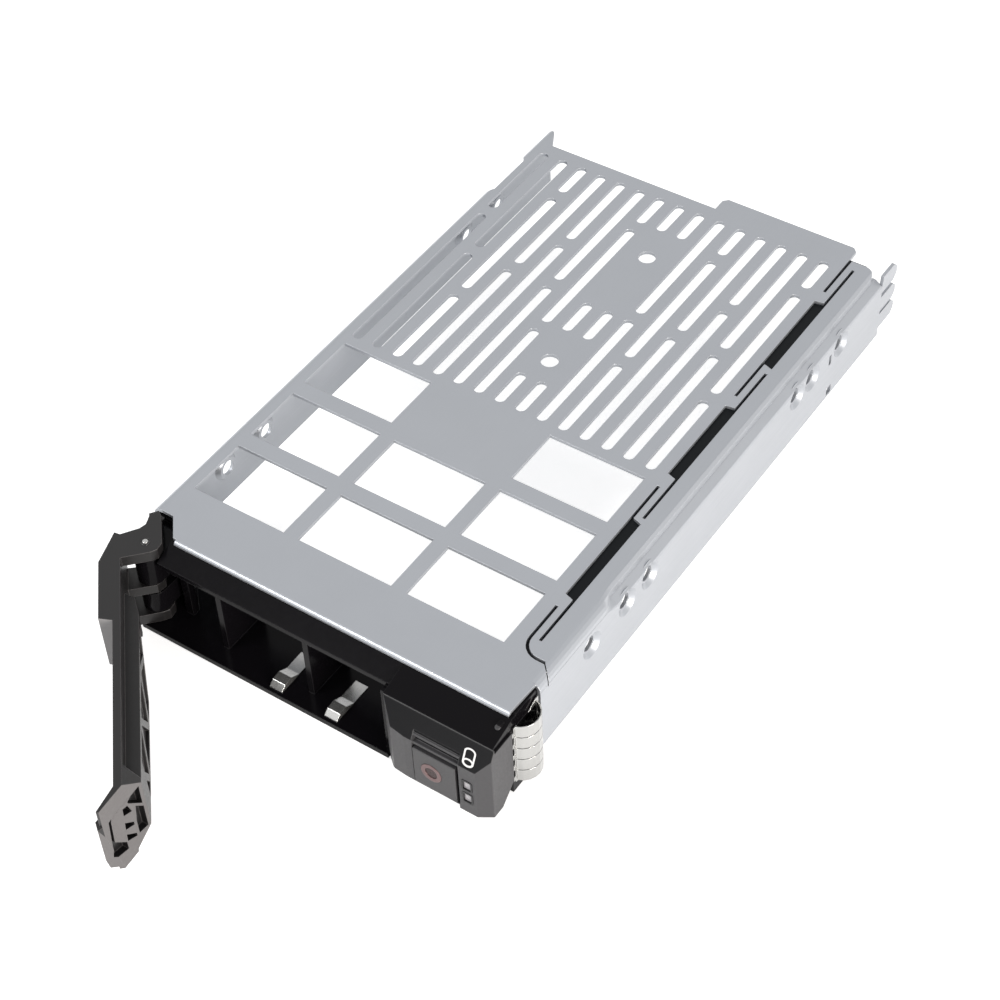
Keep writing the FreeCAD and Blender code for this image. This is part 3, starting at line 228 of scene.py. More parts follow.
class Effect:
    """Shared effects, each built once as a node group.

    The value drawn_out is the scale of the rolled streaks along the sheet, over that across it.
    """

    drawn_out: float = 0.06
    _made: dict[str, bpy.types.NodeTree] = {}

    @classmethod
    def _group(cls, name: str, inputs: dict[str, float], outputs: tuple[str, ...],
               build: Callable[[NodeSheet, bpy.types.Node, bpy.types.Node], None]) -> bpy.types.NodeTree:
        """Makes a group the first time it is asked for.

        Args:
            name: The group's name.
            inputs: Names and defaults of its number inputs.
            outputs: Names of its number outputs.
            build: Fills the tree, given the sheet and its two end nodes.

        Returns:
            The node group.
        """
        if name not in cls._made:
            tree = bpy.data.node_groups.new(name, "ShaderNodeTree")
            for label, value in inputs.items():
                socket = tree.interface.new_socket(label, in_out="INPUT", socket_type="NodeSocketFloat")
                socket.default_value = value
            for label in outputs:
                tree.interface.new_socket(label, in_out="OUTPUT", socket_type="NodeSocketFloat")
            sheet = NodeSheet(tree)
            start = sheet.add("NodeGroupInput")
            end = sheet.add("NodeGroupOutput")
            build(sheet, start, end)
            cls._made[name] = tree
        return cls._made[name]

    @classmethod
    def edge_wear_and_highlight(cls) -> bpy.types.NodeTree:
        """Mask of the rounded edges, which are partly rubbed and partly get a painted highlight.

        Returns:
            A group with inputs Radius and Sharpness and output Mask.
        """

        def build(sheet: NodeSheet, start: bpy.types.Node, end: bpy.types.Node) -> None:
            """Compares the rounded normal with the plain one.

            Args:
                sheet: The group's sheet.
                start: Its inputs.
                end: Its outputs.
            """
            bevel = sheet.add("ShaderNodeBevel", samples=EDGE_SAMPLES)
            sheet.link(start.outputs["Radius"], bevel.inputs["Radius"])
            plain = sheet.add("ShaderNodeNewGeometry")
            dot = sheet.add("ShaderNodeVectorMath", operation="DOT_PRODUCT")
            sheet.link(bevel.outputs[0], dot.inputs[0])
            sheet.link(plain.outputs["Normal"], dot.inputs[1])
            turned = sheet.math("SUBTRACT", 1.0, dot.outputs["Value"])
            mask = sheet.math("MULTIPLY", turned, start.outputs["Sharpness"])
            sheet.link(mask, end.inputs["Mask"])

        return cls._group("edge_wear_and_highlight", {"Radius": 0.0004, "Sharpness": 6.0}, ("Mask",), build)

    @classmethod
    def rolled_grain(cls) -> bpy.types.NodeTree:
        """Fine streaks of rolled sheet and a broad, faint mottle.

        Returns:
            A group with inputs Streaks and Mottle and outputs Fine and Broad.
        """

        def build(sheet: NodeSheet, start: bpy.types.Node, end: bpy.types.Node) -> None:
            """Draws one noise out along the sheet and lays a broad one beside it.

            Args:
                sheet: The group's sheet.
                start: Its inputs.
                end: Its outputs.
            """
            place = sheet.add("ShaderNodeTexCoord").outputs["Object"]
            stretch = sheet.add("ShaderNodeMapping")
            stretch.inputs["Scale"].default_value = (1.0, cls.drawn_out, 1.0)
            sheet.link(place, stretch.inputs["Vector"])
            streak = sheet.noise(stretch.outputs[0], start.outputs["Streaks"], 4.0)
            mottle = sheet.noise(place, start.outputs["Mottle"], 3.0)
            sheet.link(streak, end.inputs["Fine"])
            sheet.link(mottle, end.inputs["Broad"])

        return cls._group("rolled_grain", {"Streaks": 2200.0, "Mottle": 60.0}, ("Fine", "Broad"), build)

    @classmethod
    def moulded_texture(cls) -> bpy.types.NodeTree:
        """Spark-eroded grain of a moulded surface and a faint dust film.

        Returns:
            A group with inputs Grain and Dust and outputs Height and Film.
        """

        def build(sheet: NodeSheet, start: bpy.types.Node, end: bpy.types.Node) -> None:
            """Lays a fine, rough noise and a broad one side by side.

            Args:
                sheet: The group's sheet.
                start: Its inputs.
                end: Its outputs.
            """
            place = sheet.add("ShaderNodeTexCoord").outputs["Object"]
            grain = sheet.noise(place, start.outputs["Grain"], 5.0, roughness=0.65)
            film = sheet.noise(place, start.outputs["Dust"], 4.0)
            sheet.link(grain, end.inputs["Height"])
            sheet.link(film, end.inputs["Film"])

        return cls._group("moulded_texture", {"Grain": 2600.0, "Dust": 90.0}, ("Height", "Film"), build)


@dataclass(frozen=True)
class Finish:
    """How one surface looks.

    Args:
        slot: The record's slot, or a further paint.
        base: Main colour.
        worn_and_highlit: Colour of the edges: partly rubbed, partly a painted highlight.
        roughness: Lowest and highest roughness over the surface.
        metallic: 1 for bare metal.
        specular: Strength of the plain reflection, 0.5 for common plastic.
        relief: Depth of the grain's bump, in metres.
        rounding: Radius that edges appear rounded to, in metres.
        wear_and_highlight: Strength of the lighter edges: partly rubbed, partly a painted highlight.
        grain: Scale of the fine grain.
        coat: Clear gloss layer, 0 to 1.
        mottle: How much darker the broad mottle gets, 0 to 1.
        sheet_grain: True for the streaks of rolled sheet.
        coat_roughness: Roughness of the gloss layer.
        grain_span: Lowest and highest usual value of the fine grain.
    """

    slot: Slot | Paint
    base: Colour
    worn_and_highlit: Colour
    roughness: tuple[float, float]
    metallic: float = 0.0
    specular: float = 0.5
    relief: float = 0.00001
    rounding: float = 0.00025
    wear_and_highlight: float = 3.0
    grain: float = 2600.0
    coat: float = 0.0
    mottle: float = 0.12
    sheet_grain: bool = False
    coat_roughness: float = 0.06
    grain_span: tuple[float, float] = (0.3, 0.7)

    def material(self) -> bpy.types.Material:
        """Builds or finds the Blender material.

        Returns:
            The material.
        """
        name = "finish_" + self.slot.value
        found = bpy.data.materials.get(name)
        if found is not None:
            return found
        made = bpy.data.materials.new(name)
        made.use_nodes = True
        made.node_tree.nodes.clear()
        sheet = NodeSheet(made.node_tree)
        shader = sheet.add("ShaderNodeBsdfPrincipled")
        shader.inputs["Metallic"].default_value = self.metallic
        shader.inputs["Specular IOR Level"].default_value = self.specular
        shader.inputs["Coat Weight"].default_value = self.coat
        shader.inputs["Coat Roughness"].default_value = self.coat_roughness
        end = sheet.add("ShaderNodeOutputMaterial")
        sheet.link(shader.outputs[0], end.inputs["Surface"])
        fine, broad = self._textures(sheet)
        sheet.link(self._colour(sheet, broad), shader.inputs["Base Color"])
        sheet.link(self._gloss(sheet, fine), shader.inputs["Roughness"])
        sheet.link(self._skin(sheet, fine), shader.inputs["Normal"])
        return made

    def _colour(self, sheet: NodeSheet, broad: bpy.types.NodeSocket) -> bpy.types.NodeSocket:
        """Mottles the main colour and lightens its edges, partly as rubbing, partly as a painted
        highlight.

        Args:
            sheet: The material's node sheet.
            broad: The broad texture.

        Returns:
            The colour's socket.
        """
        # Lighter edges: partly rubbed, partly a painted highlight.
        wear_and_highlight = sheet.add("ShaderNodeGroup", node_tree=Effect.edge_wear_and_highlight())
        wear_and_highlight.inputs["Radius"].default_value = self.rounding
        wear_and_highlight.inputs["Sharpness"].default_value = self.wear_and_highlight
        shade = tuple(channel * (1.0 - self.mottle) for channel in self.base)
        varied = sheet.mix(broad, shade, self.base)
        return sheet.mix(wear_and_highlight.outputs["Mask"], varied, self.worn_and_highlit)

    def _gloss(self, sheet: NodeSheet, fine: bpy.types.NodeSocket) -> bpy.types.NodeSocket:
        """Spreads the roughness over its span with the fine grain.

        Args:
            sheet: The material's node sheet.
            fine: The fine texture.

        Returns:
            The roughness socket.
        """
        spread = sheet.add("ShaderNodeMapRange")
        for span, ends in (("From", self.grain_span), ("To", self.roughness)):
            spread.inputs[span + " Min"].default_value = ends[0]
            spread.inputs[span + " Max"].default_value = ends[1]
        sheet.link(fine, spread.inputs["Value"])
        return spread.outputs[0]

    def _skin(self, sheet: NodeSheet, fine: bpy.types.NodeSocket) -> bpy.types.NodeSocket:
        """Rounds the edges and lays the grain's bump over them.

        Args:
            sheet: The material's node sheet.
            fine: The fine texture.

        Returns:
            The normal's socket.
        """
        rounded = sheet.add("ShaderNodeBevel", samples=EDGE_SAMPLES)
        rounded.inputs["Radius"].default_value = self.rounding
        bump = sheet.add("ShaderNodeBump")
        bump.inputs["Strength"].default_value = 1.0
        bump.inputs["Distance"].default_value = self.relief
        sheet.link(fine, bump.inputs["Height"])
        sheet.link(rounded.outputs[0], bump.inputs["Normal"])
        return bump.outputs[0]

    def _textures(self, sheet: NodeSheet) -> tuple[bpy.types.NodeSocket, bpy.types.NodeSocket]:
        """Places the grain that suits the surface.

        Args:
            sheet: The material's node sheet.

        Returns:
            The fine and the broad texture sockets.
        """
        if self.sheet_grain:
            node = sheet.add("ShaderNodeGroup", node_tree=Effect.rolled_grain())
            node.inputs["Streaks"].default_value = self.grain
            return node.outputs["Fine"], node.outputs["Broad"]
        node = sheet.add("ShaderNodeGroup", node_tree=Effect.moulded_texture())
        node.inputs["Grain"].default_value = self.grain
        return node.outputs["Height"], node.outputs["Film"]


FINISHES: dict[Slot | Paint, Finish] = {
    finish.slot: finish
    for finish in (
        Finish(Slot.TRAY_STEEL, (0.412, 0.430, 0.462), (0.68, 0.69, 0.70), (0.32, 0.40), metallic=0.6,
               relief=0.0000025, rounding=0.0002, wear_and_highlight=1.2, grain=1800.0, mottle=0.07, sheet_grain=True),
        Finish(Slot.BEZEL_BLACK, (0.0045, 0.004, 0.005), (0.035, 0.034, 0.036), (0.14, 0.2),
               specular=0.07, relief=0.0000005, rounding=0.00025, wear_and_highlight=2.0, grain=700.0),
        Finish(Slot.COVER_GREY, (0.047, 0.046, 0.0495), (0.13, 0.13, 0.135), (0.4, 0.52),
               specular=0.35, relief=0.000004, rounding=0.00035, wear_and_highlight=2.0, grain=1600.0),
        # Cover's slope and scoop: partly its own darker facet, partly painted shade.
        Finish(Paint.FACET, (0.006, 0.006, 0.007), (0.15, 0.15, 0.153), (0.34, 0.5),
               specular=0.14, relief=0.000014, rounding=0.0004, wear_and_highlight=2.5, grain=1500.0),
        Finish(Slot.LEVER_BLACK, (0.0108, 0.01, 0.0104), (0.13, 0.12, 0.122), (0.34, 0.46),
               specular=0.4, relief=0.000005, rounding=0.0003, wear_and_highlight=2.5, grain=1500.0),
        # Lighter greys on the lever's tip face, chin and heel: painted reflections.
        Finish(Paint.GRIP, (0.122, 0.115, 0.116), (0.26, 0.25, 0.25), (0.42, 0.55),
               specular=0.4, relief=0.000006, rounding=0.00012, wear_and_highlight=2.0, grain=1500.0),
        Finish(Paint.HEEL, (0.26, 0.253, 0.255), (0.36, 0.35, 0.35), (0.42, 0.55),
               specular=0.4, relief=0.000006, rounding=0.00012, wear_and_highlight=2.0, grain=1500.0),
        Finish(Slot.BUTTON_GREY, (0.038, 0.037, 0.04), (0.12, 0.12, 0.122), (0.34, 0.44),
               specular=0.35, relief=0.000003, rounding=0.00035, wear_and_highlight=2.0, grain=1600.0),
        Finish(Slot.RING_COPPER, (0.14, 0.08, 0.08), (0.26, 0.17, 0.165), (0.32, 0.42), metallic=0.3,
               relief=0.000002, wear_and_highlight=1.5, grain=1500.0),
        Finish(Slot.CORE_RED, (0.035, 0.016, 0.016), (0.09, 0.05, 0.048), (0.25, 0.32),
               specular=0.2, relief=0.000001, wear_and_highlight=0.8, grain=900.0),
        Finish(Slot.SPRING_STEEL, (0.47, 0.468, 0.458), (0.72, 0.72, 0.70), (0.16, 0.24), metallic=0.85,
               relief=0.000001, wear_and_highlight=1.0, grain=900.0, mottle=0.08),
        Finish(Slot.LENS_CLEAR, (0.42, 0.405, 0.425), (0.55, 0.55, 0.55), (0.22, 0.3),
               relief=0.000001, wear_and_highlight=1.0, grain=900.0, coat=0.3),
        Finish(Slot.CARRIER_BLACK, (0.0055, 0.007, 0.0085), (0.02, 0.022, 0.024), (0.4, 0.5),
               specular=0.12, relief=0.000002, wear_and_highlight=1.0, grain=900.0),
        Finish(Paint.PIN, (0.16, 0.16, 0.165), (0.3, 0.3, 0.3), (0.3, 0.38), metallic=0.9,
               relief=0.000001, wear_and_highlight=1.0, grain=900.0),
        Finish(Paint.MARK, (0.80, 0.80, 0.80), (0.85, 0.85, 0.85), (0.5, 0.6),
               relief=0.000001, rounding=0.00008, wear_and_highlight=0.5, grain=1500.0, mottle=0.05),
        # Black used as painted shade: partly on the lens frames, and on the pin head's collar.
        Finish(Paint.SURROUND, (0.006, 0.006, 0.007), (0.05, 0.05, 0.052), (0.3, 0.4),
               specular=0.3, relief=0.000001, rounding=0.00012, wear_and_highlight=2.0, grain=1500.0),
    )
}


# ------------------------------------------------------------------ frame pieces
@dataclass
class FrameDresser:
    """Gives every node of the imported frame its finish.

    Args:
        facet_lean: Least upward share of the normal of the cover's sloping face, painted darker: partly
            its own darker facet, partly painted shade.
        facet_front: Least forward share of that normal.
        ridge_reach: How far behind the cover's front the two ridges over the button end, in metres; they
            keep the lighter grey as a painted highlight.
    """

    facet_lean: float = 0.3
    facet_front: float = 0.1
    ridge_reach: float = 0.00125

    def dress(self) -> None:
        """Puts each node's material on it, by the record's slots."""
        slots = {row["node"]: row["material_slot"] for row in frame["record"]["subparts"]}
        for name, node in frame["nodes"].items():
            finish = FINISHES[Slot(slots[name])]
            node.data.materials.clear()
            node.data.materials.append(finish.material())
            log.info("dressed %s in %s", name, finish.slot.value)
        # Slope and scoop painted darker, partly as painted shade; the ridges over the button stay lighter
        # as a painted highlight.
        self._second("button_cover", Paint.FACET, self._on_facet_and_shade)
        self._second("hinge_pin", Paint.PIN, lambda face: True)

    def _second(self, name: str, paint: Paint, test: Callable[[bpy.types.MeshPolygon], bool]) -> None:
        """Gives some of a node's faces a second finish.

        Args:
            name: The node.
            paint: The second finish.
            test: Says which faces get it.
        """
        mesh = frame["nodes"][name].data
        mesh.materials.append(FINISHES[paint].material())
        faces = [face for face in mesh.polygons if test(face)]
        for face in faces:
            face.material_index = 1
        log.info("dressed %d faces of %s in %s", len(faces), name, paint.value)

    def _on_facet_and_shade(self, face: bpy.types.MeshPolygon) -> bool:
        """Finds the faces painted darker, the cover's slope and the scoop over the button: partly its own
        darker facet, partly painted shade; the ridges keep the lighter grey as a painted highlight.

        Args:
            face: A face of the cover.

        Returns:
            True if the face is one of them.
        """
        low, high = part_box("release_button")
        over = low[0] < face.center.x < high[0] and face.center.z > high[2]
        ridge = face.center.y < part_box("button_cover")[0][1] + self.ridge_reach
        slope = face.normal.z > self.facet_lean and -face.normal.y > self.facet_front
        return slope or (over and not ridge)


# ------------------------------------------------------------------- added pieces
class Bench:
    """Modelling by hand: edit mode steps on the active object."""

    @staticmethod
    def take(piece: bpy.types.Object) -> None:
        """Makes a piece active and selects it alone.

        Args:
            piece: The piece.
        """
        bpy.ops.object.select_all(action="DESELECT")
        bpy.context.view_layer.objects.active = piece
        piece.select_set(True)

    @staticmethod
    def start(add: Callable[..., object], **sizes: object) -> bpy.types.Object:
        """Adds a primitive and opens it in edit mode, with nothing else selected.

        Args:
            add: The primitive's operator.
            **sizes: Its sizes.

        Returns:
            The new object.
        """
        bpy.ops.object.select_all(action="DESELECT")
        add(**sizes)
        bpy.ops.object.mode_set(mode="EDIT")
        bpy.ops.mesh.select_mode(type="FACE")
        return bpy.context.object

    @staticmethod
    def pick(test: Callable[[bmesh.types.BMFace], bool]) -> None:
        """Selects just the faces that pass a test.

        Args:
            test: Says which faces.
        """
        mesh = bpy.context.edit_object.data
        shape = bmesh.from_edit_mesh(mesh)
        shape.select_mode = {"FACE"}
        for face in shape.faces:
            face.select_set(bool(test(face)))
        shape.select_flush_mode()
        bmesh.update_edit_mesh(mesh)

    @staticmethod
    def inset(width: float, sink: float = 0.0) -> None:
        """Insets the selected faces by a border's width and sinks them, both in metres."""
        bpy.ops.mesh.inset(thickness=width, depth=-sink, use_even_offset=True)

    @staticmethod
    def lift(rise: float) -> None:
        """Extrudes the selected faces along Z by a height in metres."""
        bpy.ops.mesh.extrude_region_move(TRANSFORM_OT_translate={"value": (0.0, 0.0, rise)})

    @staticmethod
    def close(piece: bpy.types.Object, name: str, seat: Matrix, paint: Slot | Paint, body: Body,
              slot: Slot, crisp: float = 35.0) -> bpy.types.Object:
        """Ends a piece: normals, modifiers, place, finish and body.

        Args:
            piece: The object in hand.
            name: Its name.
            seat: Where it goes, from its own frame to the model's.
            paint: Its finish.
            body: The body it rides on.
            slot: The record's slot that it belongs to; not used.
            crisp: Angle in degrees from which an edge stays sharp.

        Returns:
            The finished piece.
        """
        bpy.ops.mesh.select_all(action="SELECT")
        bpy.ops.mesh.normals_make_consistent(inside=False)
        bpy.ops.object.mode_set(mode="OBJECT")
        for modifier in list(piece.modifiers):
            bpy.ops.object.modifier_apply(modifier=modifier.name)
        bpy.ops.object.shade_smooth_by_angle(angle=math.radians(crisp))
        bpy.ops.object.transform_apply(location=True, rotation=True, scale=True)
        piece.data.transform(seat)
        piece.name = name
        piece.data.name = name
        piece.data.materials.clear()
        piece.data.materials.append(FINISHES[paint].material())
        piece.select_set(False)
        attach(piece, body.value)
        log.info("made %s, %d faces, riding on %s", name, len(piece.data.polygons), body.value)
        return piece

    @staticmethod
    def copy_of(node: str, name: str) -> bpy.types.Object:
        """Makes a merged copy of a solid's mesh and leaves it selected alone.

        Args:
            node: The solid's node.
            name: Name of the copy.

        Returns:
            The copy.
        """
        copy = bpy.data.objects.new(name, frame["nodes"][node].data.copy())
        bpy.context.scene.collection.objects.link(copy)
        Bench.take(copy)
        if copy.data.has_custom_normals:
            bpy.ops.mesh.customdata_custom_splitnormals_clear()
        bpy.ops.object.mode_set(mode="EDIT")
        bpy.ops.mesh.select_all(action="SELECT")
        bpy.ops.mesh.remove_doubles(threshold=MERGE_REACH)
        bpy.ops.object.mode_set(mode="OBJECT")
        return copy

    @staticmethod
    def twin(piece: bpy.types.Object, name: str, step: Vector, body: Body, slot: Slot) -> None:
        """Copies a finished piece to another place, with a mesh of its own.

        Args:
            piece: The finished piece.
            name: Name of the copy.
            step: How far the copy stands from the piece, in metres.
            body: The body it rides on.
            slot: The record's slot that it belongs to; not used.
        """
        copy = bpy.data.objects.new(name, piece.data.copy())
        copy.data.name = name
        copy.data.transform(Matrix.Translation(step))
        bpy.context.scene.collection.objects.link(copy)
        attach(copy, body.value)
        log.info("copied %s to %s, riding on %s", piece.name, name, body.value)

    @staticmethod
    def seat(node: str, start: Vector, along: Vector) -> Matrix:
        """Finds a place on a node's surface.

        Args:
            node: The node.
            start: A point outside it.
            along: The direction to look in from there.

        Returns:
            A frame with its Z out of the surface and its Y up the surface.
        """
        hit, place, out, _ = frame["nodes"][node].ray_cast(start, along)
        if not hit:
            raise ValueError(f"no surface of {node} there")
        rough = Vector((0.0, 0.0, 1.0)) if abs(out.z) < FACING else Vector((0.0, 1.0, 0.0))
        side = rough.cross(out).normalized()
        up = out.cross(side)
        turned = Matrix((side, up, out)).transposed().to_4x4()
        return Matrix.Translation(place) @ turned


@dataclass
class LeverMoulding:
    """The lever with its tip's hollows: a webbed plate behind a rim painted lighter as a painted
    reflection.

    Outlines are in millimetres on the tip's end face: out from the tip, then up.

    Args:
        fill: Outline of the plain block that the hollows are sunk in.
        fill_deep: How far the block reaches in, in metres.
        proud: How far it stands over the face, in metres.
        hollows: Outlines of the hollows.
        hollow_deep: Depth of the hollows, in metres.
        over: How far the tools that cut them stand over the face, in metres.
        crisp: Angle in degrees from which an edge stays sharp.
        spot: Place on the face, out from the tip and up, where it is surely flat, in metres.
        level_reach: How far from the end face's plane its faces may lie, in metres.
        chin: Direction that the face under the tip looks in.
        chin_match: Least share of a chin face's normal in that direction.
        chin_reach: How far in from the tip that face goes, in metres.
        heel: Direction that the end of the finger pad looks in.
    """

    fill: Outline = ((4.2, 19.4), (5.1, 20.3), (13.7, 20.3), (13.7, 6.6), (11.0, 3.9), (4.2, 3.9))
    fill_deep: float = 0.0021
    proud: float = 0.00002
    hollows: tuple[Outline, ...] = (
        ((3.0, 20.0), (4.1, 20.3), (3.7, 19.3), (3.3, 12.6),
         (6.6, 8.6), (6.6, 6.2), (2.5, 7.6), (2.4, 12.0)),
        ((13.6, 20.3), (10.7, 20.2), (9.4, 19.6), (9.6, 18.9), (13.6, 14.3)),
        ((11.4, 15.9), (13.7, 13.2), (13.7, 6.2), (10.7, 6.9), (10.7, 11.2)),
        ((7.6, 19.2), (9.2, 18.6), (10.1, 15.6), (7.5, 16.9)),
        ((7.3, 14.6), (9.9, 12.0), (9.9, 11.0), (7.1, 12.4)),
        ((7.0, 10.8), (9.9, 7.9), (9.9, 6.9), (6.9, 8.6)),
    )
    hollow_deep: float = 0.0017
    over: float = 0.001
    crisp: float = 12.0
    spot: tuple[float, float] = (0.0018, 0.024)
    level_reach: float = 0.00015
    chin: Vector = field(default_factory=lambda: Vector((0.65, -0.74, -0.16)))
    chin_match: float = 0.98
    chin_reach: float = 0.02
    heel: Vector = field(default_factory=lambda: Vector((0.4, -0.917, 0.0)))

    def build(self) -> None:
        """Copies the solid's mesh, fills the tip and sinks its hollows."""
        low, high = (Vector(corner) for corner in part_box("handle_lever"))
        start = Vector((high.x + STAND_OFF, low.y + self.spot[0], self.spot[1]))
        seat = Bench.seat("handle_lever", start, Vector((-1.0, 0.0, 0.0)))
        seat = seat @ Matrix.Translation((-self.spot[0], -self.spot[1], 0.0))
        shell = Bench.copy_of("handle_lever", "lever_moulding")
        self._combine(shell, self._block(self.fill, -self.fill_deep, self.proud, seat), "UNION")
        for outline in self.hollows:
            self._combine(shell, self._block(outline, -self.hollow_deep, self.over, seat), "DIFFERENCE")
        Bench.take(shell)
        bpy.ops.object.mode_set(mode="EDIT")
        bpy.ops.mesh.select_all(action="SELECT")
        bpy.ops.mesh.remove_doubles(threshold=MERGE_REACH)
        bpy.ops.mesh.dissolve_degenerate(threshold=MERGE_REACH)
        Bench.close(shell, "lever_moulding", Matrix.Identity(4), Slot.LEVER_BLACK, Body.LEVER,
                    Slot.LEVER_BLACK, crisp=self.crisp)
        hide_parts("handle_lever")
        self._dress(shell, seat)

    @staticmethod
    def _block(outline: Outline, bottom: float, top: float, seat: Matrix) -> bpy.types.Object:
        """Makes a block with a drawn outline.

        Args:
            outline: Its corners in millimetres.
            bottom: Its lower level, in metres.
            top: Its upper level, in metres.
            seat: Its place.

        Returns:
            The block.
        """
        block = Bench.start(bpy.ops.mesh.primitive_circle_add, vertices=len(outline), fill_type="NGON")
        shape = bmesh.from_edit_mesh(block.data)
        for vert, (out, up) in zip(shape.verts, outline):
            vert.co = (out * MM, up * MM, bottom)
        bmesh.update_edit_mesh(block.data)
        bpy.ops.mesh.select_all(action="SELECT")
        Bench.lift(top - bottom)
        bpy.ops.mesh.select_all(action="SELECT")
        bpy.ops.mesh.normals_make_consistent(inside=False)
        bpy.ops.object.mode_set(mode="OBJECT")
        block.data.transform(seat)
        return block

    @staticmethod
    def _combine(shell: bpy.types.Object, tool: bpy.types.Object, operation: str) -> None:
        """Adds or takes away a block.

        Args:
            shell: What is worked on.
            tool: The block, which is used up.
            operation: UNION or DIFFERENCE.
        """
        Bench.take(shell)
        step = shell.modifiers.new("step", "BOOLEAN")
        step.operation = operation
        step.object = tool
        step.solver = "EXACT"
        bpy.ops.object.modifier_apply(modifier=step.name)
        bpy.data.objects.remove(tool)

    def _dress(self, shell: bpy.types.Object, seat: Matrix) -> None:
        """Gives the tip's face, its chin and the heel lighter greys as a painted reflection.

        Args:
            shell: The finished lever.
            seat: The frame of the tip's end face.
        """
        mesh = shell.data
        # Painted reflection: lighter grey on the tip's face and chin, lighter still on the heel.
        for paint in (Paint.GRIP, Paint.HEEL):
            mesh.materials.append(FINISHES[paint].material())
        back = seat.inverted()
        out = seat.to_3x3().col[2]
        for face in mesh.polygons:
            place = back @ face.center
            level = abs(place.z) < self.level_reach and face.normal.dot(out) > FACING
            chin = face.normal.dot(self.chin) > self.chin_match and place.x < self.chin_reach
            heel = face.normal.dot(self.heel) > SQUARE
            face.material_index = 2 if heel else int(level or chin)


@dataclass
class DriveSymbol:
    """The plain outline of a cylinder, printed proud on the cover's slope.

    Args:
        wide: Outside width, in metres.
        tall: Outside height, in metres.
        squash: Height of the end ellipse over its width.
        line: Width of the printed line, in metres.
        rise: How far the print stands proud, in metres.
        from_right: Centre's distance from the cover's right side, in metres.
        up: Centre's height over the cover's foot, in metres.
        sides: Sides of each closed line.
        end_rise: Height of the end ellipse's line over the outline's.
        end_less: How much smaller than the outline the end ellipse is, in widths of the line.
    """

    wide: float = 0.0030
    tall: float = 0.0047
    squash: float = 0.72
    line: float = 0.00042
    rise: float = 0.00007
    from_right: float = 0.0054
    up: float = 0.01855
    sides: int = 40
    end_rise: float = 0.8
    end_less: float = 0.2

    def build(self) -> None:
        """Makes the outline and its end ellipse and prints them."""
        low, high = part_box("button_cover")
        start = Vector((high[0] - self.from_right, low[1] - STAND_OFF, low[2] + self.up))
        seat = Bench.seat("button_cover", start, Vector((0.0, 1.0, 0.0)))
        straight = self.tall - self.wide * self.squash
        self._ring("drive_symbol_outline", seat, straight, self.rise, 0.0)
        drop = Matrix.Translation((0.0, -straight / 2.0, 0.0))
        self._ring("drive_symbol_end", seat @ drop, 0.0, self.rise * self.end_rise,
                   self.line * self.end_less)

    def _ring(self, name: str, seat: Matrix, straight: float, rise: float, less: float) -> None:
        """Makes one closed line.

        Args:
            name: Name of the piece.
            seat: Its place.
            straight: Length of the straight sides, in metres.
            rise: Height of the line, in metres.
            less: How much smaller than the outside, in metres.
        """
        radius = self.wide / 2.0 - less
        ring = Bench.start(bpy.ops.mesh.primitive_circle_add, vertices=self.sides, radius=radius,
                           fill_type="NGON")
        bpy.ops.mesh.select_all(action="SELECT")
        bpy.ops.transform.resize(value=(1.0, self.squash, 1.0))
        shape = bmesh.from_edit_mesh(ring.data)
        for vert in shape.verts:
            vert.co.y += math.copysign(straight / 2.0, vert.co.y)
        bmesh.update_edit_mesh(ring.data)
        Bench.inset(self.line)
        bpy.ops.mesh.delete(type="FACE")
        bpy.ops.mesh.select_all(action="SELECT")
        Bench.lift(rise)
        Bench.close(ring, name, seat, Paint.MARK, Body.TRAY, Slot.COVER_GREY)


@dataclass
class LensSurround:
    """Thin dark frame round each status lens: partly a dark surround, partly painted shade round the
    recessed lens.

    Args:
        lenses: The lens nodes.
        margin: How far the frame reaches past its lens, in metres.
        lap: How far it laps over the lens, in metres.
        proud: How far it stands out from the cover, in metres.
        corner: Radius of its corners, in metres.
        corner_steps: Steps of each corner's rounding.
    """

    lenses: tuple[str, ...] = ("status_lens_upper", "status_lens_lower")
    margin: float = 0.0004
    lap: float = 0.00004
    proud: float = 0.00012
    corner: float = 0.0006
    corner_steps: int = 4

    def build(self) -> None:
        """Makes the frame of the first lens and copies it to the others."""
        first, *others = self.lenses
        rim = self._rim(first)
        corner = Vector(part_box(first)[0])
        for name in others:
            step = Vector(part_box(name)[0]) - corner
            Bench.twin(rim, self._called(name), step, Body.TRAY, Slot.CARRIER_BLACK)

    @staticmethod
    def _called(lens: str) -> str:
        """Gives the frame's name from its lens's name."""
        return "lens_surround_" + lens.rsplit("_", 1)[1]

    def _rim(self, lens: str) -> bpy.types.Object:
        """Makes one frame.

        Args:
            lens: The lens that it goes round.

        Returns:
            The frame.
        """
        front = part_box("button_cover")[0][1]
        low, high = (Vector(corner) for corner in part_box(lens))
        middle = (low + high) / 2.0
        wide, tall = high.x - low.x, high.z - low.z
        rim = Bench.start(bpy.ops.mesh.primitive_plane_add, size=1.0)
        bpy.ops.mesh.select_all(action="SELECT")
        bpy.ops.transform.resize(value=(wide + 2.0 * self.margin, tall + 2.0 * self.margin, 1.0))
        bpy.ops.mesh.bevel(offset=self.corner, segments=self.corner_steps, affect="VERTICES")
        bpy.ops.mesh.select_all(action="SELECT")
        Bench.inset(self.margin + self.lap)
        bpy.ops.mesh.delete(type="FACE")
        bpy.ops.mesh.select_all(action="SELECT")
        Bench.lift(low.y - (front - self.proud))
        turned = Matrix.Rotation(math.radians(90.0), 4, "X")
        seat = Matrix.Translation((middle.x, low.y, middle.z)) @ turned
        # The frame's black is partly painted shade round the recessed lens.
        return Bench.close(rim, self._called(lens), seat, Paint.SURROUND, Body.TRAY, Slot.CARRIER_BLACK)


